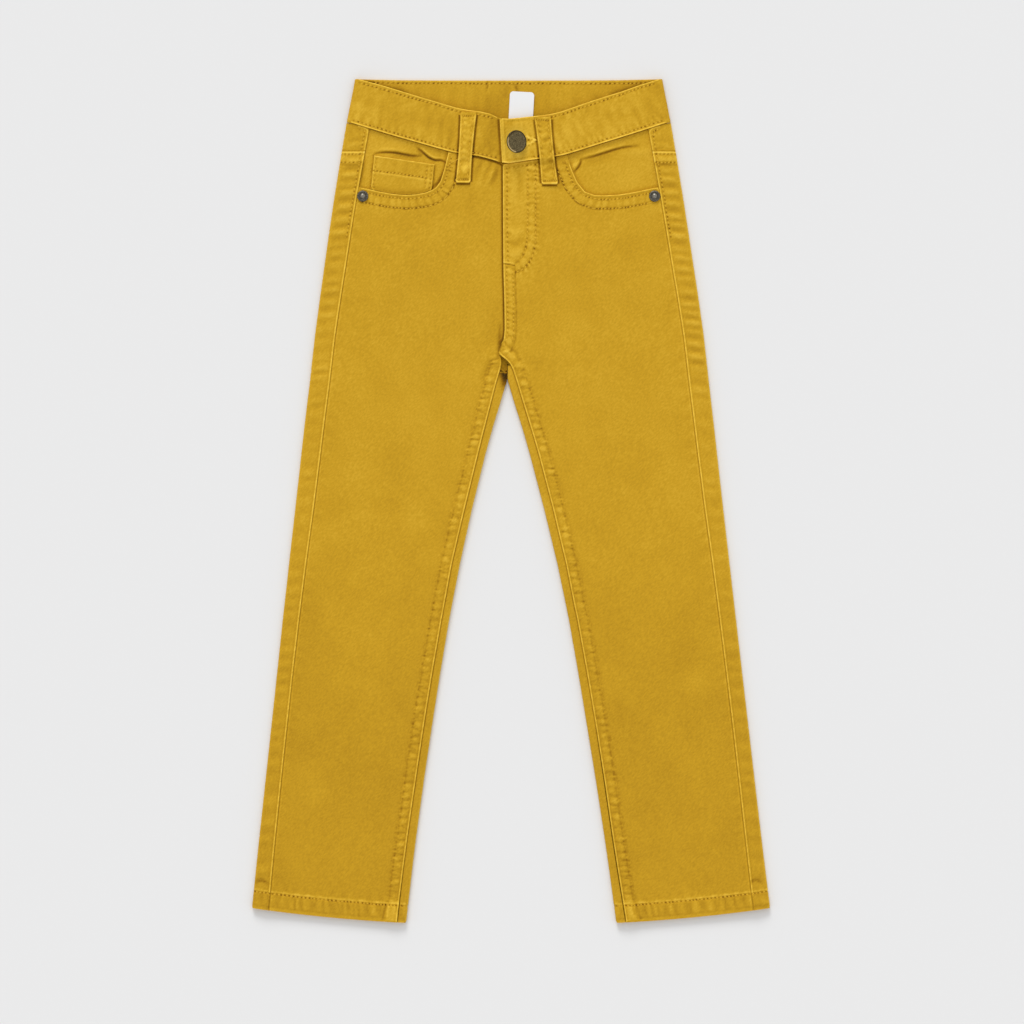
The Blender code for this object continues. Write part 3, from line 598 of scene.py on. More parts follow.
# y of the slices through a leg, the yokes and the ends of the seams.
SLICE_LOW, SLICE_OVER_HEM, SIDE_SEAM_TOP, RISE_TOP, STRIP_TOP = -329.0, -300.0, 240.0, 271.0, 273.0
YOKE_LOW, YOKE_STRIP_TOP, YOKE_TOP = 274.2, 293.5, 295.0


class Lines:
    """The seam lines of one side of the garment."""

    def __init__(self, side):
        front = FRONT[side]
        outer, inner = SLICE_ENDS[side]
        at_hem = SOLIDS[front].cut(1, SLICE_OVER_HEM)
        middle = (sum(at_hem) / 2, 0.0)
        self.front_span = at_hem
        turn_y = CROTCH_Y[side]

        def lengthwise(node, rows, pick, inside=middle, above=-FAR):
            return Path(edge_line(node, 1, rows, pick, above), inside)

        points = SOLIDS[front].points
        corner_y = points[(side * points[:, 0]).argmax(), 1]
        self.side_seam = lengthwise(front, np.linspace(corner_y + 0.2, SIDE_SEAM_TOP, 113), outer)
        rows = np.append(np.linspace(SLICE_LOW, 60.0, 80), np.linspace(62.0, turn_y, 30))
        cut = self.inseam_cut = lengthwise(front, rows, inner)
        waver = np.interp(cut.points[:, 1], *zip(*INSEAM_WAVER[side]))
        self.inseam = Path(cut.at(cut.starts, -waver), middle)
        rows = np.linspace(turn_y, RISE_TOP, 60)
        self.rise = lengthwise(front, rows, inner, (side * 80.0, 180.0))
        columns = np.linspace(*hem_ends(front, side), 30)
        self.hem = Path(edge_line(front, 0, columns, 0), (middle[0], -250.0))
        columns = side * np.append(np.linspace(46.0, 60.0, 36), np.linspace(61.0, 117.0, 50))
        self.mouth = Path(edge_line(front, 0, columns, 1), (side * 60.0, 100.0), step=1.2)
        self.fold = lengthwise(BACK[side], np.linspace(-317.0, 272.0, 118), outer)
        rows = np.linspace(SLICE_LOW, 100.0, 86)
        self.inner_fold = lengthwise(BACK[side], rows, inner)
        # The edge of the back cloth that shows beside the side seam, up to the yoke.
        below = self.side_seam.at(np.arange(0.0, self.side_seam.length, 4.0), -0.3)
        rows = np.linspace(STRIP_ALONE_Y, STRIP_TOP, 42)
        above = edge_line(BACK[side], 1, rows, inner, LAP_Z)
        points = [*below[below[:, 1] < STRIP_ALONE_Y - 2.0], *above]
        self.strip = Path(points, (side * 240.0, 0.0))
        line = edge_line(BACK[side], 0, np.linspace(*hem_ends(BACK[side], side), 40), 0)
        self.hem_round = Path(line, (middle[0], -200.0))
        top = SOLIDS[BACK[side]].points[:, 1].max()
        low, high = SOLIDS[BACK[side]].cut(1, top - 1.0, LAP_Z)
        self.yoke_seam = Path([(low - 1.0, top), (high + 1.0, top)], ((low + high) / 2, 200.0))
        low, high = SOLIDS[LOOP[side]].points.min(0), SOLIDS[LOOP[side]].points.max(0)
        centre = ((low[0] + high[0]) / 2, (low[1] + high[1]) / 2)
        rows = np.linspace(low[1] + 1.2, high[1] - 2.5, 26)
        self.loop_sides = [lengthwise(LOOP[side], rows, pick, centre) for pick in (0, 1)]
        (a, b), foot = SOLIDS[LOOP[side]].cut(1, rows[0]), low[1]
        self.loop_foot = Path([(a + 0.6, foot + 0.1), (b - 0.6, foot + 0.1)], centre)


LINES = {side: Lines(side) for side in NAMES}


# ------------------------------------------------------------ materials


def shader_of(name):
    made = bpy.data.materials.new(name)
    made.use_nodes = True
    return made, made.node_tree, made.node_tree.nodes["Principled BSDF"]


def set_inputs(node, **values):
    """Sets inputs by their names, which have _ here for each space."""
    for name, value in values.items():
        node.inputs[name.replace("_", " ")].default_value = value


def new_node(tree, kind, **values):
    made = tree.nodes.new("ShaderNode" + kind)
    set_inputs(made, **values)
    return made


def link(tree, source, out, target, into):
    tree.links.new(source.outputs[out], target.inputs[into])


def noise(tree, scale, detail=2.0, stretch=None, roughness=0.5):
    """Noise in object coordinates, in cells to a metre.

    stretch is a turn from the y axis and how many times longer the cells are that way.
    """
    where = new_node(tree, "TexCoord")
    texture = new_node(tree, "TexNoise", Scale=scale, Detail=detail, Roughness=roughness)
    if not stretch:
        link(tree, where, "Object", texture, "Vector")
        return texture
    turn, longer = stretch
    mapping = new_node(tree, "Mapping", Rotation=(0.0, 0.0, turn), Scale=(1.0, longer, 1.0))
    mapping.vector_type = "TEXTURE"
    link(tree, where, "Object", mapping, "Vector")
    link(tree, mapping, "Vector", texture, "Vector")
    return texture


def math_node(tree, operation, first, second):
    """Of two numbers or sockets."""
    made = tree.nodes.new("ShaderNodeMath")
    made.operation = operation
    for k, value in enumerate((first, second)):
        if isinstance(value, (int, float)):
            made.inputs[k].default_value = value
        else:
            tree.links.new(value, made.inputs[k])
    return made.outputs[0]


def tone_of(tree):
    """The tone that the mesh carries, as a socket."""
    tone = new_node(tree, "Attribute")
    tone.attribute_name = "tone"
    return tone.outputs["Fac"]


def speckled(tree, value, texture, share):
    """A value with noise added, as much above it as below."""
    centred = math_node(tree, "SUBTRACT", texture.outputs["Fac"], 0.5)
    return math_node(tree, "ADD", value, math_node(tree, "MULTIPLY", centred, share))


def colour_by(tree, shader, value, per_tone, stops):
    """Colours the shader by a value; a stop is a place from 0 to 1 and a colour."""
    ramp = new_node(tree, "ValToRGB")
    (low, first), *inner, (high, last) = stops
    ends = ramp.color_ramp.elements
    ends[0].position, ends[1].position = low, high
    ends[0].color, ends[1].color = (*first, 1.0), (*last, 1.0)
    for at, colour in inner:
        ramp.color_ramp.elements.new(at).color = (*colour, 1.0)
    scaled = math_node(tree, "MULTIPLY", value, per_tone)
    tree.links.new(math_node(tree, "ADD", scaled, 0.5), ramp.inputs["Fac"])
    link(tree, ramp, "Color", shader, "Base Color")


def add_bump(tree, shader, height, strength, distance):
    bump = new_node(tree, "Bump", Strength=strength, Distance=distance)
    tree.links.new(height, bump.inputs["Height"])
    link(tree, bump, "Normal", shader, "Normal")


TWILL_ANGLE = math.radians(-45.0)


def twill(name, colours, grain=1.0):
    """Garment-dyed cotton twill: diagonal weave, uneven dye, pale ridges and dark hollows, partly wear
    and partly painted highlight and painted shade.

    The colours are those of tones from -2 to 2.
    """
    made, tree, shader = shader_of(name)
    value = tone_of(tree)
    for scale, detail, stretch, share in (
        (60.0, 2.0, None, 0.1),
        (420.0, 1.0, (TWILL_ANGLE, 2.0), 0.05),
        (1050.0, 1.0, (TWILL_ANGLE, 2.4), 0.72),
    ):
        value = speckled(tree, value, noise(tree, scale, detail, stretch), share * grain)
    stops = [(k / (len(colours) - 1), linear(*colour)) for k, colour in enumerate(colours)]
    colour_by(tree, shader, value, 0.25, stops)
    set_inputs(shader, Roughness=0.88, Specular_IOR_Level=0.15, Sheen_Weight=0.06,
               Sheen_Roughness=0.45, Sheen_Tint=(1.0, 0.85, 0.5, 1.0))
    # The diagonal ribs and the fuzz on them.
    where = new_node(tree, "TexCoord")
    mapping = new_node(tree, "Mapping", Rotation=(0.0, 0.0, TWILL_ANGLE))
    link(tree, where, "Object", mapping, "Vector")
    ribs = new_node(tree, "TexWave", Scale=620.0, Distortion=1.2, Detail=1.0)
    ribs.wave_type = "BANDS"
    ribs.bands_direction = "Y"
    link(tree, mapping, "Vector", ribs, "Vector")
    fuzz = noise(tree, 1100.0, 2.0)
    height = math_node(tree, "ADD", ribs.outputs["Fac"], fuzz.outputs["Fac"])
    add_bump(tree, shader, height, 0.48, 0.00012)
    return made


def metal(name, wear_and_highlight, colour, patina, roughness, scale):
    """Antiqued metal: dark patina in the hollows, bright on the high places from wear and from painted
    highlights.
    """
    made, tree, shader = shader_of(name)
    specks = noise(tree, scale, 4.0, roughness=0.65)
    value = speckled(tree, tone_of(tree), specks, 4.2)
    colour_by(tree, shader, value, 0.5, ((0.15, patina), (0.8, colour), (1.0, wear_and_highlight)))
    set_inputs(shader, Metallic=0.85, Roughness=roughness)
    add_bump(tree, shader, specks.outputs["Fac"], 0.5, 0.00015)
    return made


def satin(name, colour):
    """Woven label satin: bright, with fine ribs across it."""
    made, tree, shader = shader_of(name)
    set_inputs(shader, Base_Color=(*colour, 1.0), Roughness=0.5, Sheen_Weight=0.1)
    threads = noise(tree, 1400.0, 2.0, (0.0, 6.5))
    add_bump(tree, shader, threads.outputs["Fac"], 0.3, 0.00006)
    return made


def linear(red, green, blue):
    """A colour read as 0 to 255 on a screen, as light."""
    return tuple(
        c / 12.92 if c <= 0.04045 else ((c + 0.055) / 1.055) ** 2.4
        for c in (red / 255, green / 255, blue / 255)
    )


# The darkest of these colours serve painted shade in deep hollows, the palest painted highlights on
# ridges.
BODY = twill("twill_body", ((60, 41, 4), (142, 99, 7), (201, 155, 32), (245, 201, 70),
                            (255, 226, 112)))
THREAD = twill("thread", ((92, 64, 6), (158, 113, 12), (206, 161, 38), (246, 203, 74),
                          (255, 226, 112)), 0.4)
BRASS = metal("antique_brass", (0.6, 0.46, 0.22), (0.235, 0.185, 0.088), (0.05, 0.038, 0.017),
              0.42, 1300.0)
GUNMETAL = metal("gunmetal", (0.42, 0.4, 0.35), (0.27, 0.25, 0.2), (0.055, 0.049, 0.04),
                 0.42, 1500.0)
LABEL = satin("label_satin", linear(234, 235, 236))


# ------------------------------------------------------------ making pieces


def new_object(name, data):
    made = bpy.data.objects.new(name, data)
    bpy.context.scene.collection.objects.link(made)
    return made


def add_piece(name, points, faces, material, tone, node=None):
    """A piece of points in millimetres, in place of a node where one is named."""
    mesh = bpy.data.meshes.new(name)
    mesh.from_pydata((np.asarray(points) * MM).tolist(), [], np.asarray(faces).tolist())
    mesh.materials.append(material)
    mesh.shade_smooth()
    mesh.set_sharp_from_angle(angle=math.radians(50))
    attribute = mesh.attributes.new("tone", "FLOAT", "POINT")
    attribute.data.foreach_set("value", np.asarray(tone, np.float32))
    made = new_object(name, mesh)
    if node:
        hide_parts(node)
    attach(made, "root")
    return made


def looks_out(solid, normals):
    """Which faces look out of the piece, and not at another layer of it."""
    tree = BVHTree.FromPolygons(solid.points.tolist(), solid.faces.tolist())
    starts = solid.points[solid.faces].mean(1) + 0.05 * normals
    return np.array([
        tree.ray_cast(Vector(start), Vector(way), LAYER_REACH)[0] is None
        for start, way in zip(starts, normals)
    ])


cuts = []  # each piece of cloth that is made, its stitches and its node


class Cloth:
    """A piece of cloth made from a CAD node's solid.

    It is cut finely along the paths and in the patches, each a path, a band beside it and an
    edge length. Only what lies above a height counts as showing, and what also picks.
    """

    def __init__(self, node, paths, open_edge=OPEN_EDGE, patches=(), shown_above=LAP_Z,
                 rounds=14, also=None):
        solid = SOLIDS[node]
        self.node = node
        normals = normals_of(solid.points, solid.faces)
        heights = solid.points[solid.faces][:, :, 2].mean(1)
        shown = (normals[:, 2] > 0.1) & (heights > shown_above)
        shown |= (abs(normals[:, 2]) < 0.75) & looks_out(solid, normals)
        if also:
            x, y = solid.points[solid.faces][:, :, 0], solid.points[solid.faces][:, :, 1]
            shown |= also(x.mean(1), y.mean(1)) & (normals[:, 2] > 0.1)
        seen = np.zeros(len(solid.points), bool)
        seen[solid.faces[shown]] = True
        wanted = length_map(solid, paths, open_edge, patches)
        points, faces, seen = refine(solid.points, solid.faces, seen, wanted)
        self.points = soften(points, faces, seen, rounds)
        self.faces, self.seen = faces, seen
        self.tone = np.zeros(len(points))
        self.lowest = solid.points[:, 2].min()

    def relief(self, where=None):
        """An empty relief over the points that show, or some of them."""
        self.chosen = np.flatnonzero(self.seen if where is None else self.seen & where)
        return Relief(self.points[self.chosen, 0], self.points[self.chosen, 1])

    def press(self, relief, weight=1.0):
        self.points[self.chosen, 2] += relief.z * weight
        self.tone[self.chosen] += np.clip(relief.tone * weight, -2.0, 1.5)

    def slide(self, relief, path, amount, reach=0.8):
        """Draws the edge along a path outwards; amount is a number or pairs of y and number."""
        off, along = relief.near(path)
        if not isinstance(amount, float):
            amount = np.interp(relief.y, *zip(*amount))
        way = path.at(along, -1.0) - path.at(along, 0.0)
        share = amount * np.exp(-((off / reach) ** 2))
        self.points[self.chosen, :2] += way * share[:, None]

    def tongue(self, low, high, top):
        """Adds a flat box from the surface up, coloured with painted shade."""
        box = [(x, y, z) for z in (TONGUE_FOOT, top) for x in (low[0], high[0])
               for y in (low[1], high[1])]
        sides = [(0, 1, 3, 2), (4, 6, 7, 5), (0, 4, 5, 1), (2, 3, 7, 6), (0, 2, 6, 4), (1, 5, 7, 3)]
        base = len(self.points)
        halves = [half for a, b, c, d in sides for half in ((a, b, c), (a, c, d))]
        self.points = np.concatenate([self.points, box])
        self.faces = np.concatenate([self.faces, base + np.array(halves)])
        self.tone = np.append(self.tone, np.full(len(box), TONGUE_PAINTED_SHADE))

    def finish(self, name, rows):
        """Makes the piece, and its stitches under this name."""
        self.points[:, 2] = np.maximum(self.points[:, 2], self.lowest)
        made = add_piece(self.node + "_cloth", self.points, self.faces, BODY, self.tone,
                         self.node)
        cuts.append((made, sew("stitching_" + name, self, rows), self.node))


# Places along a stitch, from 0 to 1, and how high its thread lies over the cloth there.
THREAD_RINGS = ((0.0, -0.26), (0.2, 0.0), (0.5, 0.08), (0.8, 0.0), (1.0, -0.26))
THREAD_SIDES = 6
HOLE_GAP, SHORTEST_STITCH, HIGHEST_STEP = 0.35, 0.8, 1.2
ABOVE_ALL = 60.0


def sew(name, cloth, rows):
    """The stitches of all rows of a piece, each a short arched bead of thread."""
    tree = BVHTree.FromPolygons(cloth.points.tolist(), cloth.faces.tolist())
    points, faces, tones = [], [], []
    draw = np.random.default_rng(len(name))

    def top(x, y):
        hit = tree.ray_cast(Vector((x, y, ABOVE_ALL)), Vector((0.0, 0.0, -1.0)))
        return None if hit[0] is None else hit[0].z

    turns = np.arange(THREAD_SIDES) * 2 * math.pi / THREAD_SIDES
    for row in rows:
        if row.sunk:
            continue
        spots = row.path.at(row.holes, row.across + row.sway)
        for k in range(len(spots) - 1):
            a, b = spots[k], spots[k + 1]
            way = b - a
            length = np.linalg.norm(way)
            if length < SHORTEST_STITCH:
                continue
            way = way / length
            a, b = a + way * HOLE_GAP, b - way * HOLE_GAP
            heights = [top(*(a + (b - a) * t)) for t in (0.0, 0.5, 1.0)]
            if None in heights or max(heights) - min(heights) > HIGHEST_STEP:
                continue
            side = np.array([-way[1], way[0]])
            lean = 0.5 + draw.uniform(-0.15, 0.15)
            base = len(points)
            for t, lift in THREAD_RINGS:
                ground = np.interp(t, (0.0, 0.5, 1.0), heights)
                centre = a + (b - a) * t + side * lean * (t - 0.5)
                radius = THREAD_RADIUS * (0.45 if t in (0.0, 1.0) else 1.0)
                for turn in turns:
                    flat = centre + side * radius * math.cos(turn)
                    points.append((*flat, ground + lift + 0.8 * radius * math.sin(turn)))
                    # Painted shade where the thread dives into the cloth, a painted highlight along its
                    # arch.
                    tones.append(0.3 if 0.1 < t < 0.9 else -0.7)
            last = len(THREAD_RINGS) - 1
            for ring in range(last):
                for s in range(THREAD_SIDES):
                    low = base + ring * THREAD_SIDES
                    high = low + THREAD_SIDES
                    after = (s + 1) % THREAD_SIDES
                    faces.append((low + s, low + after, high + after))
                    faces.append((low + s, high + after, high + s))
            for ring, turned in ((0, True), (last, False)):
                first = base + ring * THREAD_SIDES
                for s in range(1, THREAD_SIDES - 1):
                    cap = (first, first + s, first + s + 1)
                    faces.append(cap[::-1] if turned else cap)
    if not points:
        return None
    return add_piece(name, points, faces, THREAD, tones)


# ------------------------------------------------------------ the pieces


INSEAM_ROW, INSEAM_PITCH = 8.0, 6.2  # its stitching from the edge, and its puckers' spacing
INSEAM_STOP = {RIGHT: 6.0, LEFT: 17.0}  # how far below the crotch that stitching ends
HEM_ROW, HEM_STITCH = 13.2, 2.9  # the hem's stitching, above its edge
MOUTH_ROWS = (3.1, 10.8)
FLY_EDGE_ROW = 3.4
CORNER_SHADE = 10.0  # the rise's edge turns down into the hollow, in painted shade, for this far
SLIT_CLOSED = 0.22  # how far a sewn edge is drawn over the slit between two solids
# The fly's two J-shaped rows, from the waistband down, and the foot of its edge, in pixels.
FLY_ROWS = [
    [(527.9, 163), (527.9, 195), (527.9, 230), (526, 247), (521, 258.5), (514.4, 264)],
    [(535.4, 162), (535.4, 193), (535.4, 230), (534, 249), (530, 261),
     (523.4, 269), (515.4, 272.5)],
]
FLY_FOOT = [(502, 263.6), (508, 264.2), (514.5, 265.4)]


def beside_loop(relief, lines):
    """The dark line of shade round a belt loop, on what it lies on."""
    for path in lines.loop_sides:
        relief.line(path, -0.8, 0.75, -0.1, -1.35)
    relief.line(lines.loop_foot, -0.7, 0.8, -0.1, -1.5)


# Places sewn over and over, to take the strain; each is a short line, in pixels.
BAR_TACKS = {
    RIGHT: [
        [(447.0, 165.8), (452.5, 166.8)],
        [(446.8, 169.2), (452.3, 170.2)],
        [(443.0, 190.0), (447.5, 192.6)],
    ],
    LEFT: [
        [(563.0, 161.6), (567.0, 163.4)],
        [(572.0, 188.5), (575.5, 185.0)],
    ],
}


# Creases that the pull of the button leaves beside the fly, on the right front.
# Their tones are painted shade in the troughs and a painted highlight on the ridges.
DRAG_CREASES = [
    ([(498.5, 165), (496, 174), (490, 186)], 2.0, -0.4, -0.6),
    ([(492, 160), (487, 170), (480, 183)], 1.7, -0.36, -0.5),
    ([(483, 158), (479, 167), (474, 178)], 1.6, -0.26, -0.38),
    ([(489, 163), (484, 173), (477, 188)], 1.7, 0.26, 0.38),
    ([(494.5, 166), (491.5, 174), (485.5, 187)], 1.5, 0.2, 0.3),
    ([(470, 186), (472, 200), (470, 214)], 4.0, -0.14, -0.12),
]

# Soft folds of the fronts, with painted shade in the troughs and a painted highlight on the ridges.
FRONT_CREASES = {
    RIGHT: [
        ([(500.6, 322), (499.8, 336), (499.2, 347), (499.2, 360)], 1.5, -0.35, -0.75),
        ([(499, 300), (495, 330), (484, 352)], 5.0, -0.25, -0.12),
        ([(497, 352), (490, 364), (480, 384)], 3.0, -0.2, -0.28),
        ([(493, 345), (484, 364), (468, 386)], 6.0, 0.2, 0.08),
        ([(400, 230), (372, 262), (362, 300)], 14.0, 0.25, 0.05),
        ([(420, 420), (398, 470), (392, 520)], 16.0, -0.22, -0.05),
        ([(300, 700), (335, 690), (370, 702)], 12.0, 0.2, 0.05),
        ([(345, 800), (380, 812), (402, 800)], 10.0, -0.18, -0.05),
    ],
    LEFT: [
        ([(505, 345), (511, 348), (516, 353), (519, 362)], 1.0, -0.2, -0.4),
        ([(503, 349), (508, 352), (512, 358), (514, 362)], 2.2, 0.22, 0.25),
        ([(519, 350), (524, 362), (531, 378)], 1.4, 0.14, 0.22),
        ([(508, 352), (526, 362), (545, 364)], 5.0, -0.16, -0.08),
        ([(541, 186), (548, 200), (546, 215)], 4.0, 0.14, 0.1),
        ([(560, 174), (561.5, 182), (560.5, 192)], 1.4, -0.26, -0.4),
        ([(640, 240), (655, 270), (660, 310)], 14.0, 0.25, 0.05),
        ([(600, 430), (622, 480), (628, 530)], 16.0, -0.22, -0.05),
        ([(660, 690), (695, 680), (725, 692)], 12.0, 0.2, 0.05),
        ([(625, 800), (650, 812), (680, 806)], 10.0, -0.18, -0.05),
    ],
}


def front(side):
    """A front of one leg, up to the waistband, with its pocket mouth."""
    lines = LINES[side]
    inseam, hem, mouth = lines.inseam, lines.hem, lines.mouth
    paths = [
        lines.side_seam, inseam, lines.inseam_cut, lines.rise, hem, mouth,
        *lines.loop_sides, lines.loop_foot,
        hem.moved(HEM_ROW),
        *(mouth.moved(across) for across in MOUTH_ROWS),
    ]
    if side == LEFT:
        fly = [drawn(places, (-30.0, 230.0)) for places in FLY_ROWS]
        foot = drawn(FLY_FOOT, (0.0, 230.0))
        paths += fly + [foot, lines.rise.moved(FLY_EDGE_ROW)]
    patches = [
        (inseam, -2.0, INSEAM_ROW + 3.0, 1.05),
        (lines.rise, -2.0, 10.0 if side == RIGHT else 24.0, 1.2),
        (mouth, -2.0, 13.5, 1.2),
        (hem, -2.0, HEM_ROW + 3.0, 1.4),
    ]
    cloth = Cloth(FRONT[side], paths, patches=patches, shown_above=1.0)
    cloth.slide(cloth.relief(), lines.inseam_cut, INSEAM_WAVER[side], reach=5.0)
    relief = cloth.relief()
    seed = 100 + side
    relief.mottle(seed)
    beside_loop(relief, lines)

    # Side seam: the front's edge sinks in painted shadow beside the worn ridge of the back cloth, and a
    # faint painted highlight lies beyond it.
    relief.line(lines.side_seam, 0.1, 0.5, -0.15, -0.35)
    relief.line(lines.side_seam, 1.3, 0.5, 0.06, 0.2, uneven=0.4)
    relief.puckers(lines.side_seam, 0.0, 9.0, 11.0, 0.3, 0.06, 0.08, seed + 5)

    # Inseam: a pale ridge on the edge, worn and with a painted highlight, then the seam allowance, drawn
    # up into lobes, with painted shade in its pinches and grooves.
    ridge_end = inseam.length - 14.0 if side == RIGHT else FAR
    relief.hem_edge(inseam, 0.32, 0.9, drop=0.2, end=ridge_end, fade=8.0)
    relief.line(inseam, 1.5, 0.45, -0.08, -0.25)
    begin, end = HEM_ROW + 3.0, inseam.length - INSEAM_STOP[side]
    relief.lobes(inseam, 1.6, 9.2, INSEAM_PITCH, 0.25, 0.24, 0.34, seed + 6, start=begin,
                 pinch=0.75)
    relief.pinches(inseam, (3.0, 7.0), (7.5, 10.0), 2.7, -0.08, -0.34, seed + 40, begin, end)
    relief.pinches(inseam, (1.2, 2.5), (3.5, 8.0), 4.4, -0.07, -0.28, seed + 41, begin, end)
    relief.puckers(inseam, 6.8, 11.0, 3.2, 0.1, 0.08, 0.14, seed + 7, start=begin, end=end)
    relief.line(inseam, 9.8, 1.2, -0.08, -0.08, uneven=0.6, start=begin, end=end)
    relief.stitches(Row(inseam, INSEAM_ROW, begin, end, pitch=2.9, seed=seed, depth=0.07,
                        uneven=0.3, sunk=True), -0.3, 0.05, 0.25)

    # Hem: the turned-up cloth, drawn in by its row of stitches, with painted highlights on its edge and
    # ridges and painted shade in its creases.
    relief.line(hem, 0.0, 0.8, 0.0, 0.2)
    relief.line(hem, 1.5, 0.8, 0.05, 0.1)
    relief.line(hem, 2.9, 0.5, -0.06, -0.2, uneven=0.5)
    relief.line(hem, HEM_ROW + 1.5, 0.55, 0.2, 0.75, uneven=0.3)
    relief.puckers(hem, 2.5, HEM_ROW + 0.5, 7.5, 0.12, 0.16, 0.26, seed + 8, spread=0.6)
    relief.pinches(hem, (2.0, 9.0), (HEM_ROW - 1.0, HEM_ROW), 6.0, -0.1, -0.22, seed + 42)
    relief.puckers(hem, HEM_ROW + 1.0, HEM_ROW + 9.0, 9.5, 0.1, 0.08, 0.08, seed + 9)
    relief.stitches(Row(hem, HEM_ROW, 1.0, pitch=HEM_STITCH, seed=seed + 2, uneven=0.25),
                    -1.0, 0.14, 0.25, 1.0)
    hem_block(relief, inseam)

    # Pocket mouth: faced edge with a painted highlight, two rows and short puckers between them, with
    # painted shade along the rows.
    relief.hem_edge(mouth, 0.3, 0.95)
    relief.line(mouth, 1.9, 0.5, -0.06, -0.25)
    for across, offset in zip(MOUTH_ROWS, (3, 4)):
        relief.stitches(Row(mouth, across, 2.0, seed=seed + offset, pitch=2.7, depth=0.22,
                            uneven=0.2), -0.95)
    relief.line(mouth, MOUTH_ROWS[1], 0.9, -0.06, -0.35, uneven=0.7)
    relief.lobes(mouth, MOUTH_ROWS[0] + 0.3, MOUTH_ROWS[1], 5.4, 0.15, 0.12, 0.26, seed + 9)
    relief.puckers(mouth, 9.0, 14.0, 3.6, 0.2, 0.07, 0.14, seed + 10)

    if side == LEFT:
        fly_relief(relief, lines, fly, foot, seed)
    else:
        # Painted shadow on the right front's centre edge, under the left front's fly.
        relief.line(lines.rise, 0.3, 0.95, -0.2, -1.4, start=CORNER_SHADE)
        relief.creases(DRAG_CREASES)
    relief.creases(FRONT_CREASES[side])
    for places in BAR_TACKS[side]:
        bar_tack(relief, places)
    cloth.slide(relief, inseam, SLIT_CLOSED)
    if side == LEFT:
        cloth.slide(relief, lines.rise, SLIT_CLOSED)
    cloth.press(relief)
    cloth.finish("front_" + NAMES[side], relief.rows)


def hem_block(relief, inseam):
    """The thick place where the hem is turned up over the inseam's allowance: a painted highlight on it
    and above it, painted shade along its edge.
    """
    off, along = relief.near(inseam)
    block = between(off, 1.2, 8.0, 1.5) * between(along, 1.0, HEM_ROW - 1.5, 1.5)
    relief.add(block, 0.22, 0.38)
    edge = np.exp(-(((off - 9.6 - 0.15 * (HEM_ROW - along)) / 1.0) ** 2))
    relief.add(edge * between(along, 0.5, HEM_ROW - 1.0, 1.5), -0.2, -0.45)
    above = between(off, 1.5, 7.5, 1.0) * between(along, HEM_ROW + 1.0, HEM_ROW + 3.0, 1.0)
    relief.add(above, 0.1, 0.45)


def bar_tack(relief, places):
    """A short row of close stitches, with a painted highlight on it and painted shade beside it."""
    path = drawn(places, step=1.0, smooth=False)
    relief.line(path, 0.0, 0.9, 0.12, 0.3, fade=0.5)
    relief.line(path, -0.9, 0.6, -0.2, -0.8, fade=0.5)
    relief.rows.append(Row(path, 0.1, 0.0, pitch=1.1, seed=5, uneven=0.2))


FLY_BEND = 24.0  # length of the J-shaped rows' lower bend
# Folds round the fly, with painted shade in the troughs and a painted highlight on the ridges.
FLY_CREASES = [
    ([(506, 226), (514, 232), (524, 228)], 3.0, 0.2, 0.26),
    ([(507, 240), (515, 244), (524, 238)], 2.2, -0.24, -0.36),
    ([(508, 250), (515, 254), (521, 248)], 2.4, 0.2, 0.26),
    ([(513, 172), (514, 190), (512, 206)], 3.2, 0.16, 0.2),
    ([(519, 170), (520, 184), (518, 196)], 2.2, -0.16, -0.24),
    ([(530, 168), (533, 176), (531, 186)], 2.0, -0.16, -0.3),
    ([(526, 193.6), (530, 194.0), (534.5, 193.2)], 0.8, -0.16, -0.7),
    ([(525.5, 203.4), (530, 203.0), (534.5, 203.4)], 0.8, -0.14, -0.55),
    ([(504.5, 203.6), (508, 203.2), (511, 203.8)], 0.7, -0.12, -0.45),
    ([(504.8, 233.4), (508, 233.8), (512, 233.4)], 0.7, -0.12, -0.5),
]


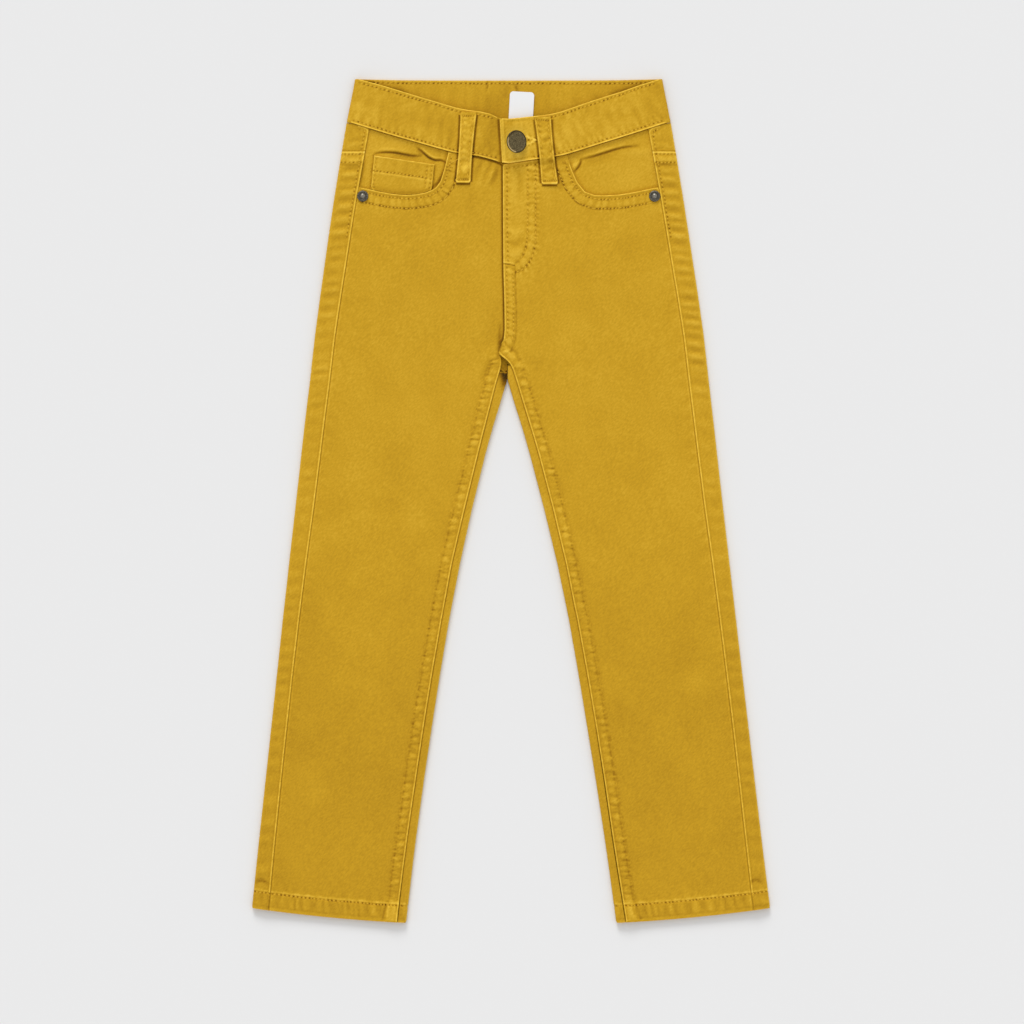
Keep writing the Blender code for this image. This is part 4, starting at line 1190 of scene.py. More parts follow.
def fly_relief(relief, lines, fly, foot, seed):
    """The left front's edge over the fly, its stitching and the centre seam below it, with painted
    highlights on the edges and swells and painted shade where the edge turns down, in the grooves and
    creases.
    """
    rise = lines.rise
    foot_along = float(np.interp(px(*FLY_FOOT[0])[1], rise.points[:, 1], rise.starts))
    relief.hem_edge(rise, 0.3, 0.9, start=CORNER_SHADE + 1.5, fade=3.0)
    relief.line(rise, 0.2, 0.7, -0.2, -1.1, end=CORNER_SHADE - 4.5, fade=3.0, uneven=0.6)
    relief.stitches(Row(rise, FLY_EDGE_ROW, foot_along + 2.0, seed=seed + 20, pitch=3.5,
                        depth=0.2), -0.85)
    relief.puckers(rise, 1.5, 7.0, 6.5, 0.1, 0.07, 0.18, seed + 30, start=foot_along)
    for k, path in enumerate(fly):
        relief.stitches(Row(path, 0.0, 2.0, seed=seed + 21 + k, pitch=3.6, uneven=0.25,
                            depth=0.18), -0.5, 0.14)
        relief.line(path, 0.0, 1.0, -0.1, -0.35, start=path.length - FLY_BEND, uneven=0.8)
    relief.lobes(fly[0], -7.5, 0.5, 6.0, 0.2, 0.16, 0.22, seed + 31)
    relief.puckers(fly[1], -4.5, 2.5, 3.6, 0.2, 0.1, 0.32, seed + 32, spread=0.6)
    relief.puckers(fly[0], -3.0, 3.0, 5.6, -0.2, 0.06, 0.14, seed + 33, spread=0.6)
    relief.line(foot, 0.0, 0.5, -0.3, -1.1)
    relief.line(foot, 1.1, 0.6, 0.2, 0.7)
    # Below the fly the centre seam is felled and sewn twice.
    for across, start in ((2.6, 5.0), (7.2, 11.0)):
        relief.stitches(Row(rise, across, start, foot_along - 2.0, seed=seed + 24, depth=0.16),
                        -0.5)
    relief.lobes(rise, 1.4, 8.6, 5.2, 0.2, 0.16, 0.26, seed + 34, end=foot_along - 2.0, fade=3.0)
    relief.line(rise, 9.0, 0.7, -0.14, -0.4, end=foot_along - 3.0, uneven=0.4)
    off, along = relief.near(rise)
    relief.add(between(off, 3.0, 22.0, 4.0) * between(along, foot_along, FAR, 25.0), 0.0, 0.14)
    relief.creases(FLY_CREASES)


CROTCH, CROTCH_REACH = px(505.0, 366.0), 24.0


def in_crotch(x, y):
    """Which places are near the corner where the two legs meet."""
    return np.hypot(x - CROTCH[0], y - CROTCH[1]) < CROTCH_REACH


# Creases across the back's strip, above the hem, darkened with painted shade.
STRIP_CREASES = {
    RIGHT: [([(254, 884), (261, 880.5), (270, 885)], 1.5, -0.35, -0.6)],
    LEFT: [([(748, 884), (756, 880), (763, 884)], 1.5, -0.35, -0.6)],
}
# The seam allowance under the crotch: two corners in plan, and its upper side's height.
TONGUE = ((-4.8, 95.3), (0.2, 112.0), 0.8)
# The box's foot height, and its tone, which is painted shade.
TONGUE_FOOT, TONGUE_PAINTED_SHADE = 0.1, -1.5
# y where the painted shade of the hollow starts, how much lower to its right, and how far down it goes.
HOLLOW_TOP, HOLLOW_SLOPE, HOLLOW_TALL = 103.8, 0.72, 20.0
HOLLOW_WIDTHS = 8.0, 3.0  # from the leg's inner fold, at its top and its foot
PATCH_FROM, PATCH_WIDTH = -8.5, 5.0  # x of the patch of cloth that shows above the hollow
FOLD_HIGHLIGHT = {RIGHT: 0.2, LEFT: 0.6}  # painted highlight on the pressed edge on each side of a leg


def back(side):
    """The back of one leg, which shows as a strip beside each seam of the front."""
    lines = LINES[side]
    seam, hem, yoke_seam = lines.strip, lines.hem_round, lines.yoke_seam
    paths = [seam, lines.inseam, hem.moved(HEM_ROW), yoke_seam, yoke_seam.moved(8.6)]
    patches = [
        (seam, -1.0, 22.0, 1.4),
        (lines.inseam, -12.0, 0.0, 1.6),
        (lines.fold, -1.0, 3.0, 1.3),
        (lines.inner_fold, -1.0, 3.0, 1.5),
        (hem, -1.0, HEM_ROW + 3.0, 1.4),
    ]
    cloth = Cloth(BACK[side], paths, patches=patches, also=in_crotch)
    relief = cloth.relief()
    seed = 200 + side
    relief.mottle(seed)
    hip = seam.length - 68.0
    # The strip's edge is the worn ridge of the side seam, lit further by a painted highlight, with
    # painted shade beside it.
    relief.line(seam, 0.0, 0.3, -0.1, -0.15)
    relief.line(seam, 0.55, 0.38, 0.28, 0.9, start=HEM_ROW, fade=2.0, uneven=0.3)
    relief.line(seam, 0.3, 0.45, -0.1, -0.5, end=HEM_ROW - 3.0, fade=2.0)
    relief.line(seam, 1.7, 0.5, -0.06, -0.2)
    relief.stitches(Row(seam, 2.7, hip, seed=seed, pitch=3.3), -1.0, 0.16)
    high = seam.length - 150.0
    relief.puckers(seam, 0.5, 16.0, 9.0, 0.25, 0.3, 0.3, seed + 1, start=high, fade=80.0)
    relief.puckers(seam, 0.5, 14.0, 13.0, 0.2, 0.16, 0.14, seed + 2)
    # Inseam strip: plain and smooth, with painted shade where it meets the ridge of the front.
    relief.line(lines.inseam, -0.5, 0.45, -0.1, -0.6)
    # A painted highlight keeps the pressed edges as light as the flat cloth, also where they turn from
    # the light.
    relief.line(lines.inner_fold, 0.0, 1.0, 0.0, FOLD_HIGHLIGHT[-side])
    relief.line(lines.fold, 0.0, 1.0, 0.0, FOLD_HIGHLIGHT[side])
    relief.line(hem, 0.0, 0.8, 0.0, 0.4)
    # Hem, as on the front.
    relief.line(hem, HEM_ROW + 1.5, 0.55, 0.2, 0.75, uneven=0.3)
    begin, end = (at - hem.points[0, 0] for at in lines.front_span)
    for start, stop in ((0.5, begin), (end, hem.length - 0.5)):
        row = Row(hem, HEM_ROW, start, stop, pitch=HEM_STITCH, seed=seed + 3)
        relief.stitches(row, -1.0, 0.14, 0.25, 1.0)
    relief.puckers(hem, 2.5, HEM_ROW + 0.5, 7.0, 0.1, 0.12, 0.16, seed + 4)
    relief.line(hem, 2.9, 0.5, -0.08, -0.25)
    relief.creases(STRIP_CREASES[side])
    # The yoke is sewn under this edge with two rows; the edge has a painted highlight, and painted shade
    # lies below the lower row.
    relief.line(yoke_seam, 0.8, 0.5, 0.28, 1.1)
    relief.stitches(Row(yoke_seam, 2.2, 0.5, seed=seed + 5, pitch=3.0), -0.6, 0.1)
    relief.stitches(Row(yoke_seam, 8.6, 0.5, seed=seed + 6, pitch=3.0), -1.0, 0.18)
    relief.line(yoke_seam, 5.3, 2.4, 0.14, 0.3)
    relief.line(yoke_seam, 10.2, 0.8, -0.16, -0.4)
    heights = cloth.points[cloth.chosen, 2]
    relief.z *= between(heights, 3.0, 9.0, 1.2)
    if side == RIGHT:
        hollow(relief, heights, lines.inner_fold)
    cloth.slide(relief, seam, SLIT_CLOSED)
    cloth.slide(relief, yoke_seam, SLIT_CLOSED)
    cloth.press(relief)
    if side == LEFT:
        cloth.tongue(*TONGUE)
    cloth.finish("back_" + NAMES[side], relief.rows)


def hollow(relief, heights, fold):
    """The painted shade at the crotch, where the right leg's back cloth dips under the left one's."""
    top = HOLLOW_TOP - HOLLOW_SLOPE * np.clip(relief.x - PATCH_FROM, 0.0, PATCH_WIDTH)
    down = np.clip((top - relief.y) / HOLLOW_TALL, 0.0, 1.0)
    off = abs(relief.near(fold)[0])
    width = HOLLOW_WIDTHS[0] + (HOLLOW_WIDTHS[1] - HOLLOW_WIDTHS[0]) * down**0.6
    shade = (1.0 - ease(down)) * np.exp(-((off / width) ** 3))
    near = in_crotch(relief.x, relief.y)
    relief.z -= np.where(heights > LAP_Z, 0.5 * shade, 0.0)
    strip = (relief.y <= top) | (heights > LAP_Z)
    relief.tone -= np.where(near & strip, 2.5 * shade, 0.0)
    # Above the strip's end, the cloth under the leg shows, in painted shade that is darkest beside the
    # right front.
    edge = np.clip((relief.x - PATCH_FROM) / PATCH_WIDTH, 0.0, 1.0)
    relief.tone -= np.where(near & ~strip, 1.3 - 0.75 * edge, 0.0)


def plain_cloth(node, paths, dress, shown_above=-1.0, patches=(), open_edge=1.6, slit=None,
                shape=None):
    """A small piece: cut, shaped and dressed by functions, and sewn."""
    cloth = Cloth(node, paths, open_edge=open_edge, patches=patches, shown_above=shown_above)
    if shape:
        shape(cloth.points)
    relief = cloth.relief()
    dress(relief)
    if slit:
        cloth.slide(relief, slit, SLIT_CLOSED)
    cloth.press(relief)
    cloth.finish(node, relief.rows)


def yoke(side):
    """The back yoke's end, which comes round to the side seam."""
    outer, inner = SLICE_ENDS[side]
    rows = np.linspace(YOKE_LOW, YOKE_STRIP_TOP, 10)
    seam = Path(edge_line(YOKE[side], 1, rows, inner, LAP_Z), (side * 200.0, 282.0))
    rows = np.linspace(YOKE_LOW, YOKE_TOP, 10)
    fold = Path(edge_line(YOKE[side], 1, rows, outer), (0.0, 282.0))

    def dress(relief):
        relief.mottle(300 + side)
        # Painted highlights on the seam's ridge and the pressed fold, painted shade beside the back's
        # edge over the yoke.
        relief.line(seam, 0.0, 0.3, -0.1, -0.15)
        relief.line(seam, 0.55, 0.38, 0.26, 0.75, uneven=0.3)
        relief.line(fold, 0.0, 1.0, 0.0, FOLD_HIGHLIGHT[side])
        relief.stitches(Row(seam, 2.7, 0.5, seed=301 + side, pitch=3.3), -1.0, 0.16)
        relief.puckers(seam, 0.5, 16.0, 6.5, 0.3, 0.2, 0.24, 302 + side)
        relief.line(LINES[side].yoke_seam, -0.5, 0.6, -0.15, -0.45)

    patches = [(fold, -1.0, 22.0, 1.3)]
    plain_cloth(YOKE[side], [seam], dress, LAP_Z, patches, slit=seam)


# The pocket bag's folds that show in the mouths: a hollow in painted shade under a raised lip with a
# painted highlight.
FACING_CREASES = {
    RIGHT: [
        ([(372, 155.2), (378, 153.0), (385.5, 152.3), (394, 152.6), (403, 154.0),
          (412, 155.6), (423, 156.0)], 0.95, -0.55, -1.7),
        ([(390, 154.6), (404, 156.4), (420, 158.2)], 1.5, -0.1, -0.45),
        ([(415.5, 146.5), (421, 150.6), (425, 154.3), (429.5, 157.9), (435.5, 160.2),
          (441.5, 160.3), (447.5, 163.5)], 0.95, -0.55, -1.9),
        ([(417, 149), (419.8, 153), (421.5, 157)], 1.2, -0.15, -0.5),
        ([(447, 162), (445, 170), (441, 178), (436, 184.5), (427, 189.5)],
         1.5, -0.2, -1.0),
        ([(372, 151), (388, 149.0), (412, 152)], 1.6, 0.2, 0.2),
        ([(420, 147), (427.5, 153.3), (434, 157.4), (443, 158)], 1.0, 0.25, 0.5),
        ([(364, 160), (361.5, 176), (359.5, 188)], 1.4, -0.15, -0.4),
    ],
    LEFT: [
        ([(573.5, 172.5), (578, 167.5), (580.5, 163), (581, 158.5)], 0.9, -0.6, -1.4),
        ([(579.5, 159.6), (594, 156), (610, 151), (622, 147.6), (640, 145.5)],
         1.1, -0.5, -1.5),
        ([(580, 157.3), (594, 154), (610, 149), (628, 144.5)], 1.3, 0.3, 0.45),
        ([(571.5, 168.5), (575.5, 164.5), (578, 160)], 1.8, 0.3, 0.4),
        ([(583, 163), (600, 158.5), (622, 152)], 3.4, -0.12, -0.25),
        ([(628, 150), (642, 152), (655, 149)], 3.0, 0.2, 0.15),
    ],
}


def facing(side):
    """The cloth that shows in a pocket's mouth."""
    mouth = LINES[side].mouth

    def dress(relief):
        relief.mottle(400 + side, 0.08, 0.2)
        # Deep under the mouth's edge the cloth is darkened with painted shade.
        relief.line(mouth, -0.2, 1.6, -0.1, -0.35)
        relief.dye(0.12)
        if side == RIGHT:
            # The shade beside the coin pocket.
            for path in coin_edges()[1:]:
                relief.line(path, -0.6, 0.6, -0.08, -0.7, uneven=0.3)
        relief.creases(FACING_CREASES[side])

    creases = [drawn(places, (side * 80.0, 300.0), step=2.0)
               for places, *_ in FACING_CREASES[side]]
    plain_cloth(FACING[side], creases, dress, 1.0)


def coin_edges():
    """The coin pocket's upper edge, then its outer and inner ones."""
    solid = SOLIDS["coin_pocket"]
    low, high = solid.points.min(0), solid.points.max(0)
    corner = solid.points[(solid.points[:, 1] - 0.5 * solid.points[:, 0]).argmax()]
    columns = np.linspace(corner[0] + 0.2, high[0] - 0.3, 24)
    centre = ((low[0] + high[0]) / 2, (low[1] + high[1]) / 2)
    outer_rows = np.linspace(low[1] + 4.0, corner[1] - 0.3, 16)
    inner_rows = np.linspace(low[1] + 4.0, high[1] - 7.5, 12)
    return [Path(edge_line("coin_pocket", *cut), centre)
            for cut in ((0, columns, 1), (1, outer_rows, 0), (1, inner_rows, 1))]


def coin_pocket():
    top, outer, inner = coin_edges()

    def dress(relief):
        relief.mottle(501, 0.08, 0.4)
        relief.dye(0.02)
        # Painted highlights on the turned edges and ridges, painted shade under the front's mouth edge.
        for path in (top, outer):
            relief.hem_edge(path, 0.24, 1.05, drop=0.2)
        relief.hem_edge(inner, 0.2, 0.6, drop=0.2)
        relief.line(inner, 3.6, 1.0, 0.12, 0.2, uneven=0.4)
        relief.stitches(Row(top, 11.6, 1.0, seed=502, depth=0.2, pitch=2.9), -1.2)
        relief.stitches(Row(inner, 1.9, 1.0, seed=503, depth=0.2), -0.5, light=0.2)
        relief.stitches(Row(inner, 5.4, 1.0, seed=504, depth=0.16), -0.45, light=0.2)
        relief.stitches(Row(outer, 1.9, 1.0, seed=505, depth=0.16), -0.35, light=0.2)
        relief.line(top, 13.0, 0.7, 0.12, 0.35)
        relief.puckers(top, 1.0, 11.0, 8.0, 0.1, 0.07, 0.14, 506)
        relief.line(LINES[RIGHT].mouth, -1.0, 2.4, -0.1, -0.45)

    paths = [top, outer, inner, top.moved(11.6), inner.moved(1.9), inner.moved(5.4)]
    plain_cloth("coin_pocket", paths, dress, open_edge=1.2)


BAND_ROW_TOP, BAND_ROW_LOW, BAND_STITCH = 2.6, 2.5, 3.3
BAND_FRONT_Z = 3.3  # the front band's cloth lies above this
TAB_X = -9.0  # the tab's free end is left of the middle
# How far the buttoned end's rows run sunk, and x to which painted light pales that end.
TAB_ROWS_SOFT_TO, TAB_PAINTED_LIGHT_TO = 25.0, 20.0
# x where the front band's upper and lower edges turn into the folds at its ends.
BAND_TOP_ENDS, BAND_LOW_ENDS = (-118.6, 114.6), (-124.6, 121.0)


# Folds of the band's front, with painted shade in the troughs and a painted highlight on the ridges.
BAND_CREASES = [
    ([(538, 118), (540, 128), (538.5, 140)], 2.2, -0.2, -0.3),
    ([(563, 120), (565, 134), (563, 148)], 3.0, 0.16, 0.16),
    ([(447, 126), (450, 136), (449, 146)], 2.4, -0.16, -0.16),
    ([(400, 112), (425, 122), (446, 124)], 4.0, -0.14, -0.12),
    ([(600, 122), (622, 114), (648, 110)], 4.0, -0.14, -0.12),
    ([(415, 137), (416.5, 143), (416, 149)], 1.0, -0.16, -0.3),
    ([(618, 117), (620, 126), (619, 134)], 1.6, -0.16, -0.2),
]
# Folds of the band's inside, with painted shade in the troughs and a painted highlight on the ridges.
INSIDE_CREASES = [
    ([(487.6, 80.5), (487.6, 85), (486.6, 92)], 0.8, -0.3, -0.8),
    ([(488.8, 82), (489.0, 87), (488.0, 95)], 1.1, 0.15, 0.35),
    ([(515, 84), (516.5, 88), (518, 92)], 1.1, -0.25, -0.7),
    ([(506.5, 85), (505.5, 92), (503.5, 100)], 2.0, -0.2, -0.3),
    ([(378, 84), (390, 89), (412, 94.5)], 2.4, -0.1, -0.8),
    ([(646, 84), (630, 89), (608, 95.5)], 2.4, -0.1, -0.8),
    ([(365, 81.2), (372, 83), (380, 86.5)], 1.2, -0.2, -1.5),
    ([(362, 80.6), (368, 82.6), (377, 85.4)], 0.9, -0.1, -1.6),
    ([(660, 81.0), (652, 82.8), (644, 86)], 1.1, -0.2, -1.2),
    ([(661.5, 80.6), (655, 82.4), (647, 85)], 0.8, -0.1, -1.3),
]


def waistband():
    """The band: its front in two halves, lapped and buttoned, and the inside of its back."""
    solid = SOLIDS["waistband"]
    low, high = solid.points.min(0), solid.points.max(0)
    tops, lows = [], []
    for found, (left, right), pick, inside_y in (
        (tops, BAND_TOP_ENDS, 1, 280.0), (lows, BAND_LOW_ENDS, 0, 310.0)
    ):
        for start, end in ((left, TAB_X - 1.6), (TAB_X + 2.6, right)):
            line = edge_line("waistband", 0, np.linspace(start, end, 60), pick, BAND_FRONT_Z)
            found.append(Path(line, ((start + end) / 2, inside_y)))
    tab_line = [(tab_edge(solid, y), y) for y in np.linspace(265.0, 298.0, 14)]
    tab = Path(tab_line, (20.0, 282.0))
    back_top = Path(edge_line("waistband", 0, np.linspace(low[0] + 9.5, high[0] - 9.5, 50), 1),
                    (0.0, 280.0))
    folds = [
        Path(edge_line("waistband", 1, np.linspace(297.5, 329.5, 12), pick), (0.0, 312.0))
        for pick in (0, 1)
    ]
    paths = [*tops, *lows, tab, tab.moved(3.8), back_top.moved(2.6)]
    paths += LINES[RIGHT].loop_sides + LINES[LEFT].loop_sides
    paths += [path.moved(BAND_ROW_TOP) for path in tops]
    paths += [path.moved(BAND_ROW_LOW) for path in lows]
    patches = [(fold, -1.0, 6.0, 1.2) for fold in folds]

    cloth = Cloth("waistband", paths, open_edge=2.1, patches=patches, shown_above=1.2)
    # The front of the band, above the folds at its ends.
    on_front = cloth.points[:, 2] > BAND_FRONT_Z
    relief = cloth.relief(on_front)
    relief.mottle(601, 0.16, 0.5)
    relief.dye(0.05)
    for k, (upper_edge, lower_edge) in enumerate(zip(tops, lows)):
        # Painted highlights on the edges' ridges, painted shade at the lower edge's rim.
        relief.hem_edge(upper_edge, 0.26, 0.95)
        relief.line(lower_edge, 0.0, 0.3, -0.3, -0.5)
        relief.line(lower_edge, 0.6, 0.4, 0.36, 1.1, uneven=0.25)
        # On the buttoned end the thread has sunk into the cloth and hardly shows.
        begin = TAB_ROWS_SOFT_TO if k else 1.0
        for path, across, seed in (
            (upper_edge, BAND_ROW_TOP, 610 + k), (lower_edge, BAND_ROW_LOW, 620 + k)
        ):
            relief.stitches(Row(path, across, begin, seed=seed, depth=0.25, pitch=BAND_STITCH),
                            -1.25)
            if k:
                relief.stitches(Row(path, across, 4.0, begin - 1.0, seed=670, depth=0.06,
                                    pitch=1.7, sunk=True), -0.3, 0.16, 0.15)
        relief.puckers(lower_edge, 2.0, 10.0, 6.6, 0.1, 0.1, 0.2, 630 + k, spread=0.5)
        relief.puckers(upper_edge, 2.0, 8.0, 7.2, 0.1, 0.08, 0.14, 640 + k, spread=0.5)
        relief.puckers(lower_edge, 4.0, 26.0, 12.0, 0.15, 0.1, 0.14, 650 + k, spread=0.5)
    # The tab's edge has a painted highlight, and throws painted shadow on the band to its left.
    relief.hem_edge(tab, 0.28, 0.95)
    relief.line(tab, 2.1, 0.9, 0.06, 0.35)
    relief.line(tab, 3.7, 0.5, -0.14, -0.35, start=tab.length * 0.45)
    relief.line(tab, -0.9, 0.9, -0.2, -1.2)
    # Painted light makes the buttoned end paler, most of all in a ring round the button, where it lifts
    # the button's shadow.
    wear_and_highlight = between(relief.x, TAB_X + 1.0, TAB_PAINTED_LIGHT_TO, 3.0)
    relief.add(wear_and_highlight, 0.0, 0.32)
    middle = SOLIDS["button"].points.mean(0)
    off = np.hypot(relief.x - middle[0], relief.y - middle[1])
    relief.add(np.exp(-(((off - 8.5) / 3.0) ** 2)), 0.0, 0.35)
    for side in NAMES:
        beside_loop(relief, LINES[side])
    buttonhole(relief)
    relief.creases(BAND_CREASES)
    cloth.press(relief, between(cloth.points[cloth.chosen, 2], 4.6, 20.0, 1.2))
    # The inside of the back band, which shows above the front, with a painted highlight on its rolled top
    # edge and painted shade in its creases.
    inside = cloth.relief(~on_front)
    inside.mottle(701, 0.1, 0.4)
    inside.line(back_top, 0.7, 0.7, 0.12, 0.45, uneven=0.3)
    inside.stitches(Row(back_top, 2.6, 2.0, seed=702, pitch=3.5, uneven=0.2), -1.35, 0.14, 0.15)
    inside.puckers(back_top, 3.2, 30.0, 11.0, 0.1, 0.12, 0.1, 703, spread=0.6)
    inside.creases(INSIDE_CREASES)
    inside.dye(-0.07)
    weight = between(cloth.points[cloth.chosen, 2], 1.0, 2.4, 0.5)
    inside.z *= weight
    cloth.press(inside)
    cloth.finish("waistband", relief.rows + inside.rows)


BUTTONHOLE_EYE, BUTTONHOLE_POINT, BUTTONHOLE_RIB = px(528.6, 140.7), px(535.8, 140.4), 0.9


def buttonhole(relief):
    """A keyhole worked over the slit that the button passes through, with painted shade beside its worked
    edges, in the slit and in the eye.
    """
    eye, point = BUTTONHOLE_EYE, BUTTONHOLE_POINT
    for spread in (-3.3, 3.3):
        near = eye + np.array([-1.6, spread])
        edge = Path([near, (near + point) / 2 + 0.08 * spread * UPWARDS, point], eye, 1.0, True)
        # The thread is wound over the edge in fine ribs.
        off, along = relief.near(edge)
        ribs = 1.0 + 0.25 * np.cos(2 * math.pi * along / BUTTONHOLE_RIB)
        relief.add(np.exp(-(((off - 0.2) / 0.7) ** 2)) * ribs * (abs(off) < 3.0), 0.35, 1.25)
        relief.line(edge, -1.1, 0.45, -0.12, -0.7, fade=0.5)
    slit = Path([eye, point + np.array([-1.5, 0.0])], eye + UPWARDS, 1.0, True)
    relief.line(slit, 0.0, 0.6, -0.25, -0.8, fade=0.5)
    hole = np.exp(-((np.hypot(relief.x - eye[0], relief.y - eye[1]) / 0.8) ** 2))
    relief.add(hole, -0.5, -1.9)


TAB_LAYER_Z = 7.2  # the buttoned end's layer lies above this


def tab_edge(solid, y):
    """x of the buttoned end at y: the edge of the highest layer."""
    met = solid.cut(1, y, above=TAB_LAYER_Z)
    return met[0] if met else -8.0


LOOP_CORNER = 1.7  # radius


def belt_loop(side):
    solid = SOLIDS[LOOP[side]]
    high = solid.points[:, 1].max()
    left, right = LINES[side].loop_sides
    foot = LINES[side].loop_foot
    a, b = solid.cut(1, high - 2.5)
    top_row = Path([(a + 0.8, high - 2.6), (b - 0.8, high - 3.2)], (a, 0.0))

    def dress(relief):
        relief.mottle(800 + side, 0.14, 0.7)
        relief.add(clouds(relief.x, relief.y, 4.2, 805 + side), 0.12, 0.32)
        # Painted highlights on the loop's turned edges and foot, painted shade at the foot's rim.
        for k, path in enumerate((left, right)):
            relief.hem_edge(path, 0.22, 0.85, drop=0.25, uneven=0.5)
            relief.stitches(Row(path, 2.3, 1.0, seed=810 + k, depth=0.16, pitch=4.4, uneven=0.3),
                            -0.45, 0.06, 0.1)
            relief.puckers(path, 0.8, 6.0, 4.8, 0.1, 0.12, 0.26, 820 + k + side, spread=0.5)
        relief.line(foot, 0.8, 0.55, 0.24, 1.1, fade=1.5)
        relief.line(foot, 0.0, 0.4, -0.3, -0.5, fade=1.5)
        relief.stitches(Row(foot, 2.7, 0.5, seed=830, depth=0.24, pitch=1.7), -0.7, 0.16, 0.1)
        relief.stitches(Row(top_row, 0.0, 0.5, seed=840, depth=0.28, pitch=1.8), -0.9, 0.2, 0.1)

    def shape(points):
        """Rounds the two corners at the foot."""
        flat = points[:, :2].copy()
        for path in (left, right):
            # How far a point is short of the corner's centre, from the side and from the foot.
            ways = [p.turn * np.array([-p.ways[0][1], p.ways[0][0]]) for p in (path, foot)]
            u, v = (LOOP_CORNER - (flat - p.points[0]) @ way for p, way in zip((path, foot), ways))
            pick = (u > 0) & (v > 0)
            u, v = u[pick], v[pick]
            drawn = 1.0 - np.maximum(u, v) / np.hypot(u, v)
            points[pick, :2] += np.outer(u * drawn, ways[0]) + np.outer(v * drawn, ways[1])

    paths = [left, right, foot, top_row, left.moved(2.3), right.moved(2.3), foot.moved(2.7)]
    plain_cloth(LOOP[side], paths, dress, 4.0, open_edge=0.9, shape=shape)


# ------------------------------------------------------------ hardware and label


def lathe(profile, sides=64):
    """Points and faces of a turned solid; profile is (radius, height) from below to above."""
    points, faces, rings = [(0.0, 0.0, profile[0][1])], [], []
    for radius, height in profile[1:-1]:
        rings.append(len(points))
        for k in range(sides):
            turn = 2 * math.pi * k / sides
            points.append((radius * math.cos(turn), radius * math.sin(turn), height))
    points.append((0.0, 0.0, profile[-1][1]))
    for k in range(sides):
        after = (k + 1) % sides
        faces.append((0, rings[0] + after, rings[0] + k))
        for low, high in zip(rings, rings[1:]):
            faces.append((low + k, low + after, high + after))
            faces.append((low + k, high + after, high + k))
        faces.append((rings[-1] + k, rings[-1] + after, len(points) - 1))
    return np.array(points), np.array(faces)


# Which way the painted highlight on the button's rim faces.
BUTTON_HIGHLIGHT_TURN = math.radians(213.0)


def button():
    """The shank button, tipped as its CAD solid is."""
    solid = SOLIDS["button"]
    normals = normals_of(solid.points, solid.faces)
    a, b, c = (solid.points[solid.faces[:, k]] for k in range(3))
    size = np.linalg.norm(np.cross(b - a, c - a), axis=1) / 2
    face = (normals[:, 2] > 0.7) & (size > 0)
    axis = (normals[face] * size[face, None]).sum(0)
    axis /= np.linalg.norm(axis)
    depth = solid.points @ axis
    rim = solid.points[depth > depth.max() - 1.6]
    radius = np.linalg.norm(rim - rim.mean(0) - np.outer((rim - rim.mean(0)) @ axis, axis),
                            axis=1).max()
    top = depth.max()
    centre = rim.mean(0) + axis * (top - rim.mean(0) @ axis)
    foot = depth.min()
    profile = [
        (0.0, foot - top + 0.6), (2.2, foot - top + 0.6), (2.1, -2.2), (2.3, -1.75),
        (radius - 2.2, -1.6), (radius - 0.6, -1.5), (radius - 0.2, -1.25), (radius - 0.08, -0.9),
        (radius - 0.12, -0.5), (radius - 0.3, -0.2), (radius - 0.5, -0.06), (radius - 0.75, 0.0),
        (radius - 1.1, -0.03), (radius - 1.4, -0.14), (radius - 1.7, -0.34), (radius - 2.0, -0.4),
        (radius * 0.6, -0.3), (radius * 0.3, -0.22), (0.0, -0.2),
    ]
    points, faces = lathe(profile)
    reach = np.hypot(points[:, 0], points[:, 1])
    # A painted highlight lights the rim in a crescent, on the side that stands highest off the cloth,
    # where its wall catches the light.
    turned = np.arctan2(points[:, 1], points[:, 0]) - BUTTON_HIGHLIGHT_TURN
    crescent_highlight = ease((np.cos(turned) - 0.4) / 0.4)
    tone = np.where(reach > radius - 1.2, -0.85 + 2.5 * crescent_highlight, -0.05)
    tone = np.where((reach > radius - 0.4) | (points[:, 2] < -1.3), -0.9, tone)
    turn = Vector((0.0, 0.0, 1.0)).rotation_difference(Vector(axis)).to_matrix()
    points = points @ np.array(turn).T + centre
    add_piece("button_metal", points, faces, BRASS, tone, "button")


def rivet(side):
    """A rivet: a rim, a groove and a raised middle."""
    solid = SOLIDS[RIVET[side]]
    low, high = solid.points.min(0), solid.points.max(0)
    radius = (high[0] - low[0]) / 2
    centre = (low + high) / 2
    tall = high[2] - low[2]
    profile = [
        (0.0, 0.0), (radius * 0.9, 0.0), (radius, 0.2 * tall), (radius * 0.97, 0.45 * tall),
        (radius * 0.86, 0.62 * tall), (radius * 0.7, 0.6 * tall), (radius * 0.58, 0.42 * tall),
        (radius * 0.46, 0.45 * tall), (radius * 0.36, 0.75 * tall), (radius * 0.22, 0.95 * tall),
        (radius * 0.1, tall), (0.0, tall),
    ]
    points, faces = lathe(profile, 48)
    reach = np.hypot(points[:, 0], points[:, 1])
    tone = np.where(reach > radius * 0.72, -0.25, -0.6)
    tone = np.where(reach < radius * 0.4, 0.35, tone)
    points = points + np.array([centre[0], centre[1], low[2]])
    add_piece("rivet_metal_" + NAMES[side], points, faces, GUNMETAL, tone,
              RIVET[side])


def label():
    """The care label, plain."""
    low = SOLIDS["care_label"].points.min(0)
    cloth = Cloth("care_label", [], open_edge=1.0, shown_above=-1.0, rounds=2)
    x, y = cloth.points[:, 0], cloth.points[:, 1]
    cloth.points[:, 2] += 0.1 * np.sin((y - low[1]) / 7.0) + 0.05 * clouds(x, y, 6.0, 900)
    made = add_piece("care_label_satin", cloth.points, cloth.faces, LABEL,
                     cloth.tone, "care_label")
    cuts.append((made, None, "care_label"))


# ------------------------------------------------------------ stage


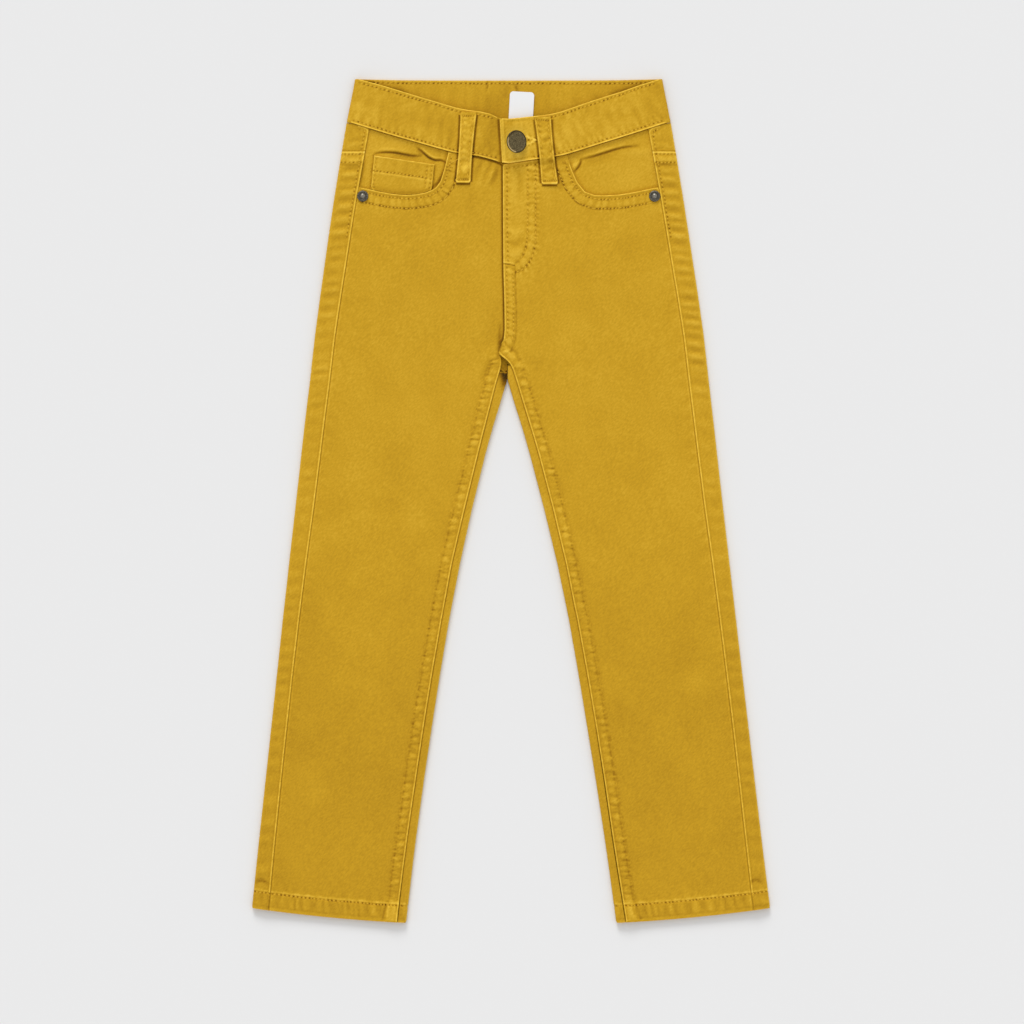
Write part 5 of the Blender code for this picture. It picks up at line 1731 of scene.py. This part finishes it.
SKY_LIGHT, FLOOR_LIGHT = 0.79, 1.03
SUN_HEIGHT, SUN_ASIDE, SUN_ANGLE = math.radians(27.0), math.radians(9.0), math.radians(24.0)


FLOOR_HALF = 6.0
LENS, SENSOR = 180.0, 36.0
CAMERA_LIFT = 0.005  # the photograph's scale is that of a plane so high


def stage():
    """Pale floor, even white sky, one soft sun from the waist's side, and the camera."""
    mesh = bpy.data.meshes.new("floor")
    corners = [(x * FLOOR_HALF, y * FLOOR_HALF, 0) for x, y in ((-1, -1), (1, -1), (1, 1), (-1, 1))]
    mesh.from_pydata(corners, [], [(0, 1, 2, 3)])
    floor = new_object("floor", mesh)
    made, _, shader = shader_of("floor")
    set_inputs(shader, Base_Color=(0.80, 0.80, 0.802, 1.0), Roughness=0.95,
               Specular_IOR_Level=0.1)
    mesh.materials.append(made)

    world = bpy.data.worlds.new("studio")
    bpy.context.scene.world = world
    world.use_nodes = True
    set_inputs(world.node_tree.nodes["Background"], Color=(1.0, 1.0, 1.0, 1.0),
               Strength=SKY_LIGHT)

    key = bpy.data.lights.new("key", "SUN")
    key.angle = SUN_ANGLE
    # What the floor is to get from the sun, which strikes it aslant.
    key.energy = (FLOOR_LIGHT - SKY_LIGHT) * math.pi / math.sin(SUN_HEIGHT)
    way = Vector((
        -math.cos(SUN_HEIGHT) * math.sin(SUN_ASIDE),
        math.cos(SUN_HEIGHT) * math.cos(SUN_ASIDE),
        math.sin(SUN_HEIGHT),
    ))
    new_object("key", key).rotation_euler = way.to_track_quat("Z", "Y").to_euler()

    camera = bpy.data.cameras.new("camera")
    camera.lens = LENS
    camera.sensor_width = SENSOR
    eye = new_object("camera", camera)
    middle = px(PHOTO_SIZE / 2, PHOTO_SIZE / 2) * MM
    height = PHOTO_SIZE * PHOTO_SCALE * MM * camera.lens / SENSOR + CAMERA_LIFT
    eye.location = (middle[0], middle[1], height)
    bpy.context.scene.camera = eye
    bpy.context.scene.view_settings.view_transform = "Standard"


# ------------------------------------------------------------ all of it

stage()
for side in NAMES:
    front(side)
    back(side)
    yoke(side)
    facing(side)
    belt_loop(side)
    rivet(side)
coin_pocket()
waistband()
button()
label()

# Width, length and flat area of each piece as cut, in metres and square metres.
FLAT = {
    "front_panel_right": (0.152, 0.600, 0.0670),
    "front_panel_left": (0.156, 0.600, 0.0687),
    "back_panel_right": (0.176, 0.604, 0.0929),
    "back_panel_left": (0.176, 0.604, 0.0925),
    "yoke_right": (0.044, 0.150, 0.0045),
    "yoke_left": (0.044, 0.150, 0.0045),
    "waistband": (0.040, 0.516, 0.0195),
    "pocket_facing_right": (0.060, 0.076, 0.0036),
    "pocket_facing_left": (0.060, 0.076, 0.0037),
    "belt_loop_right": (0.0126, 0.056, 0.00068),
    "belt_loop_left": (0.0129, 0.056, 0.00070),
    "coin_pocket": (0.026, 0.051, 0.0011),
    "care_label": (0.019, 0.0285, 0.00053),
}
for made, thread, node in cuts:
    width, length, area = FLAT[node]
    area = min(area, width * length)
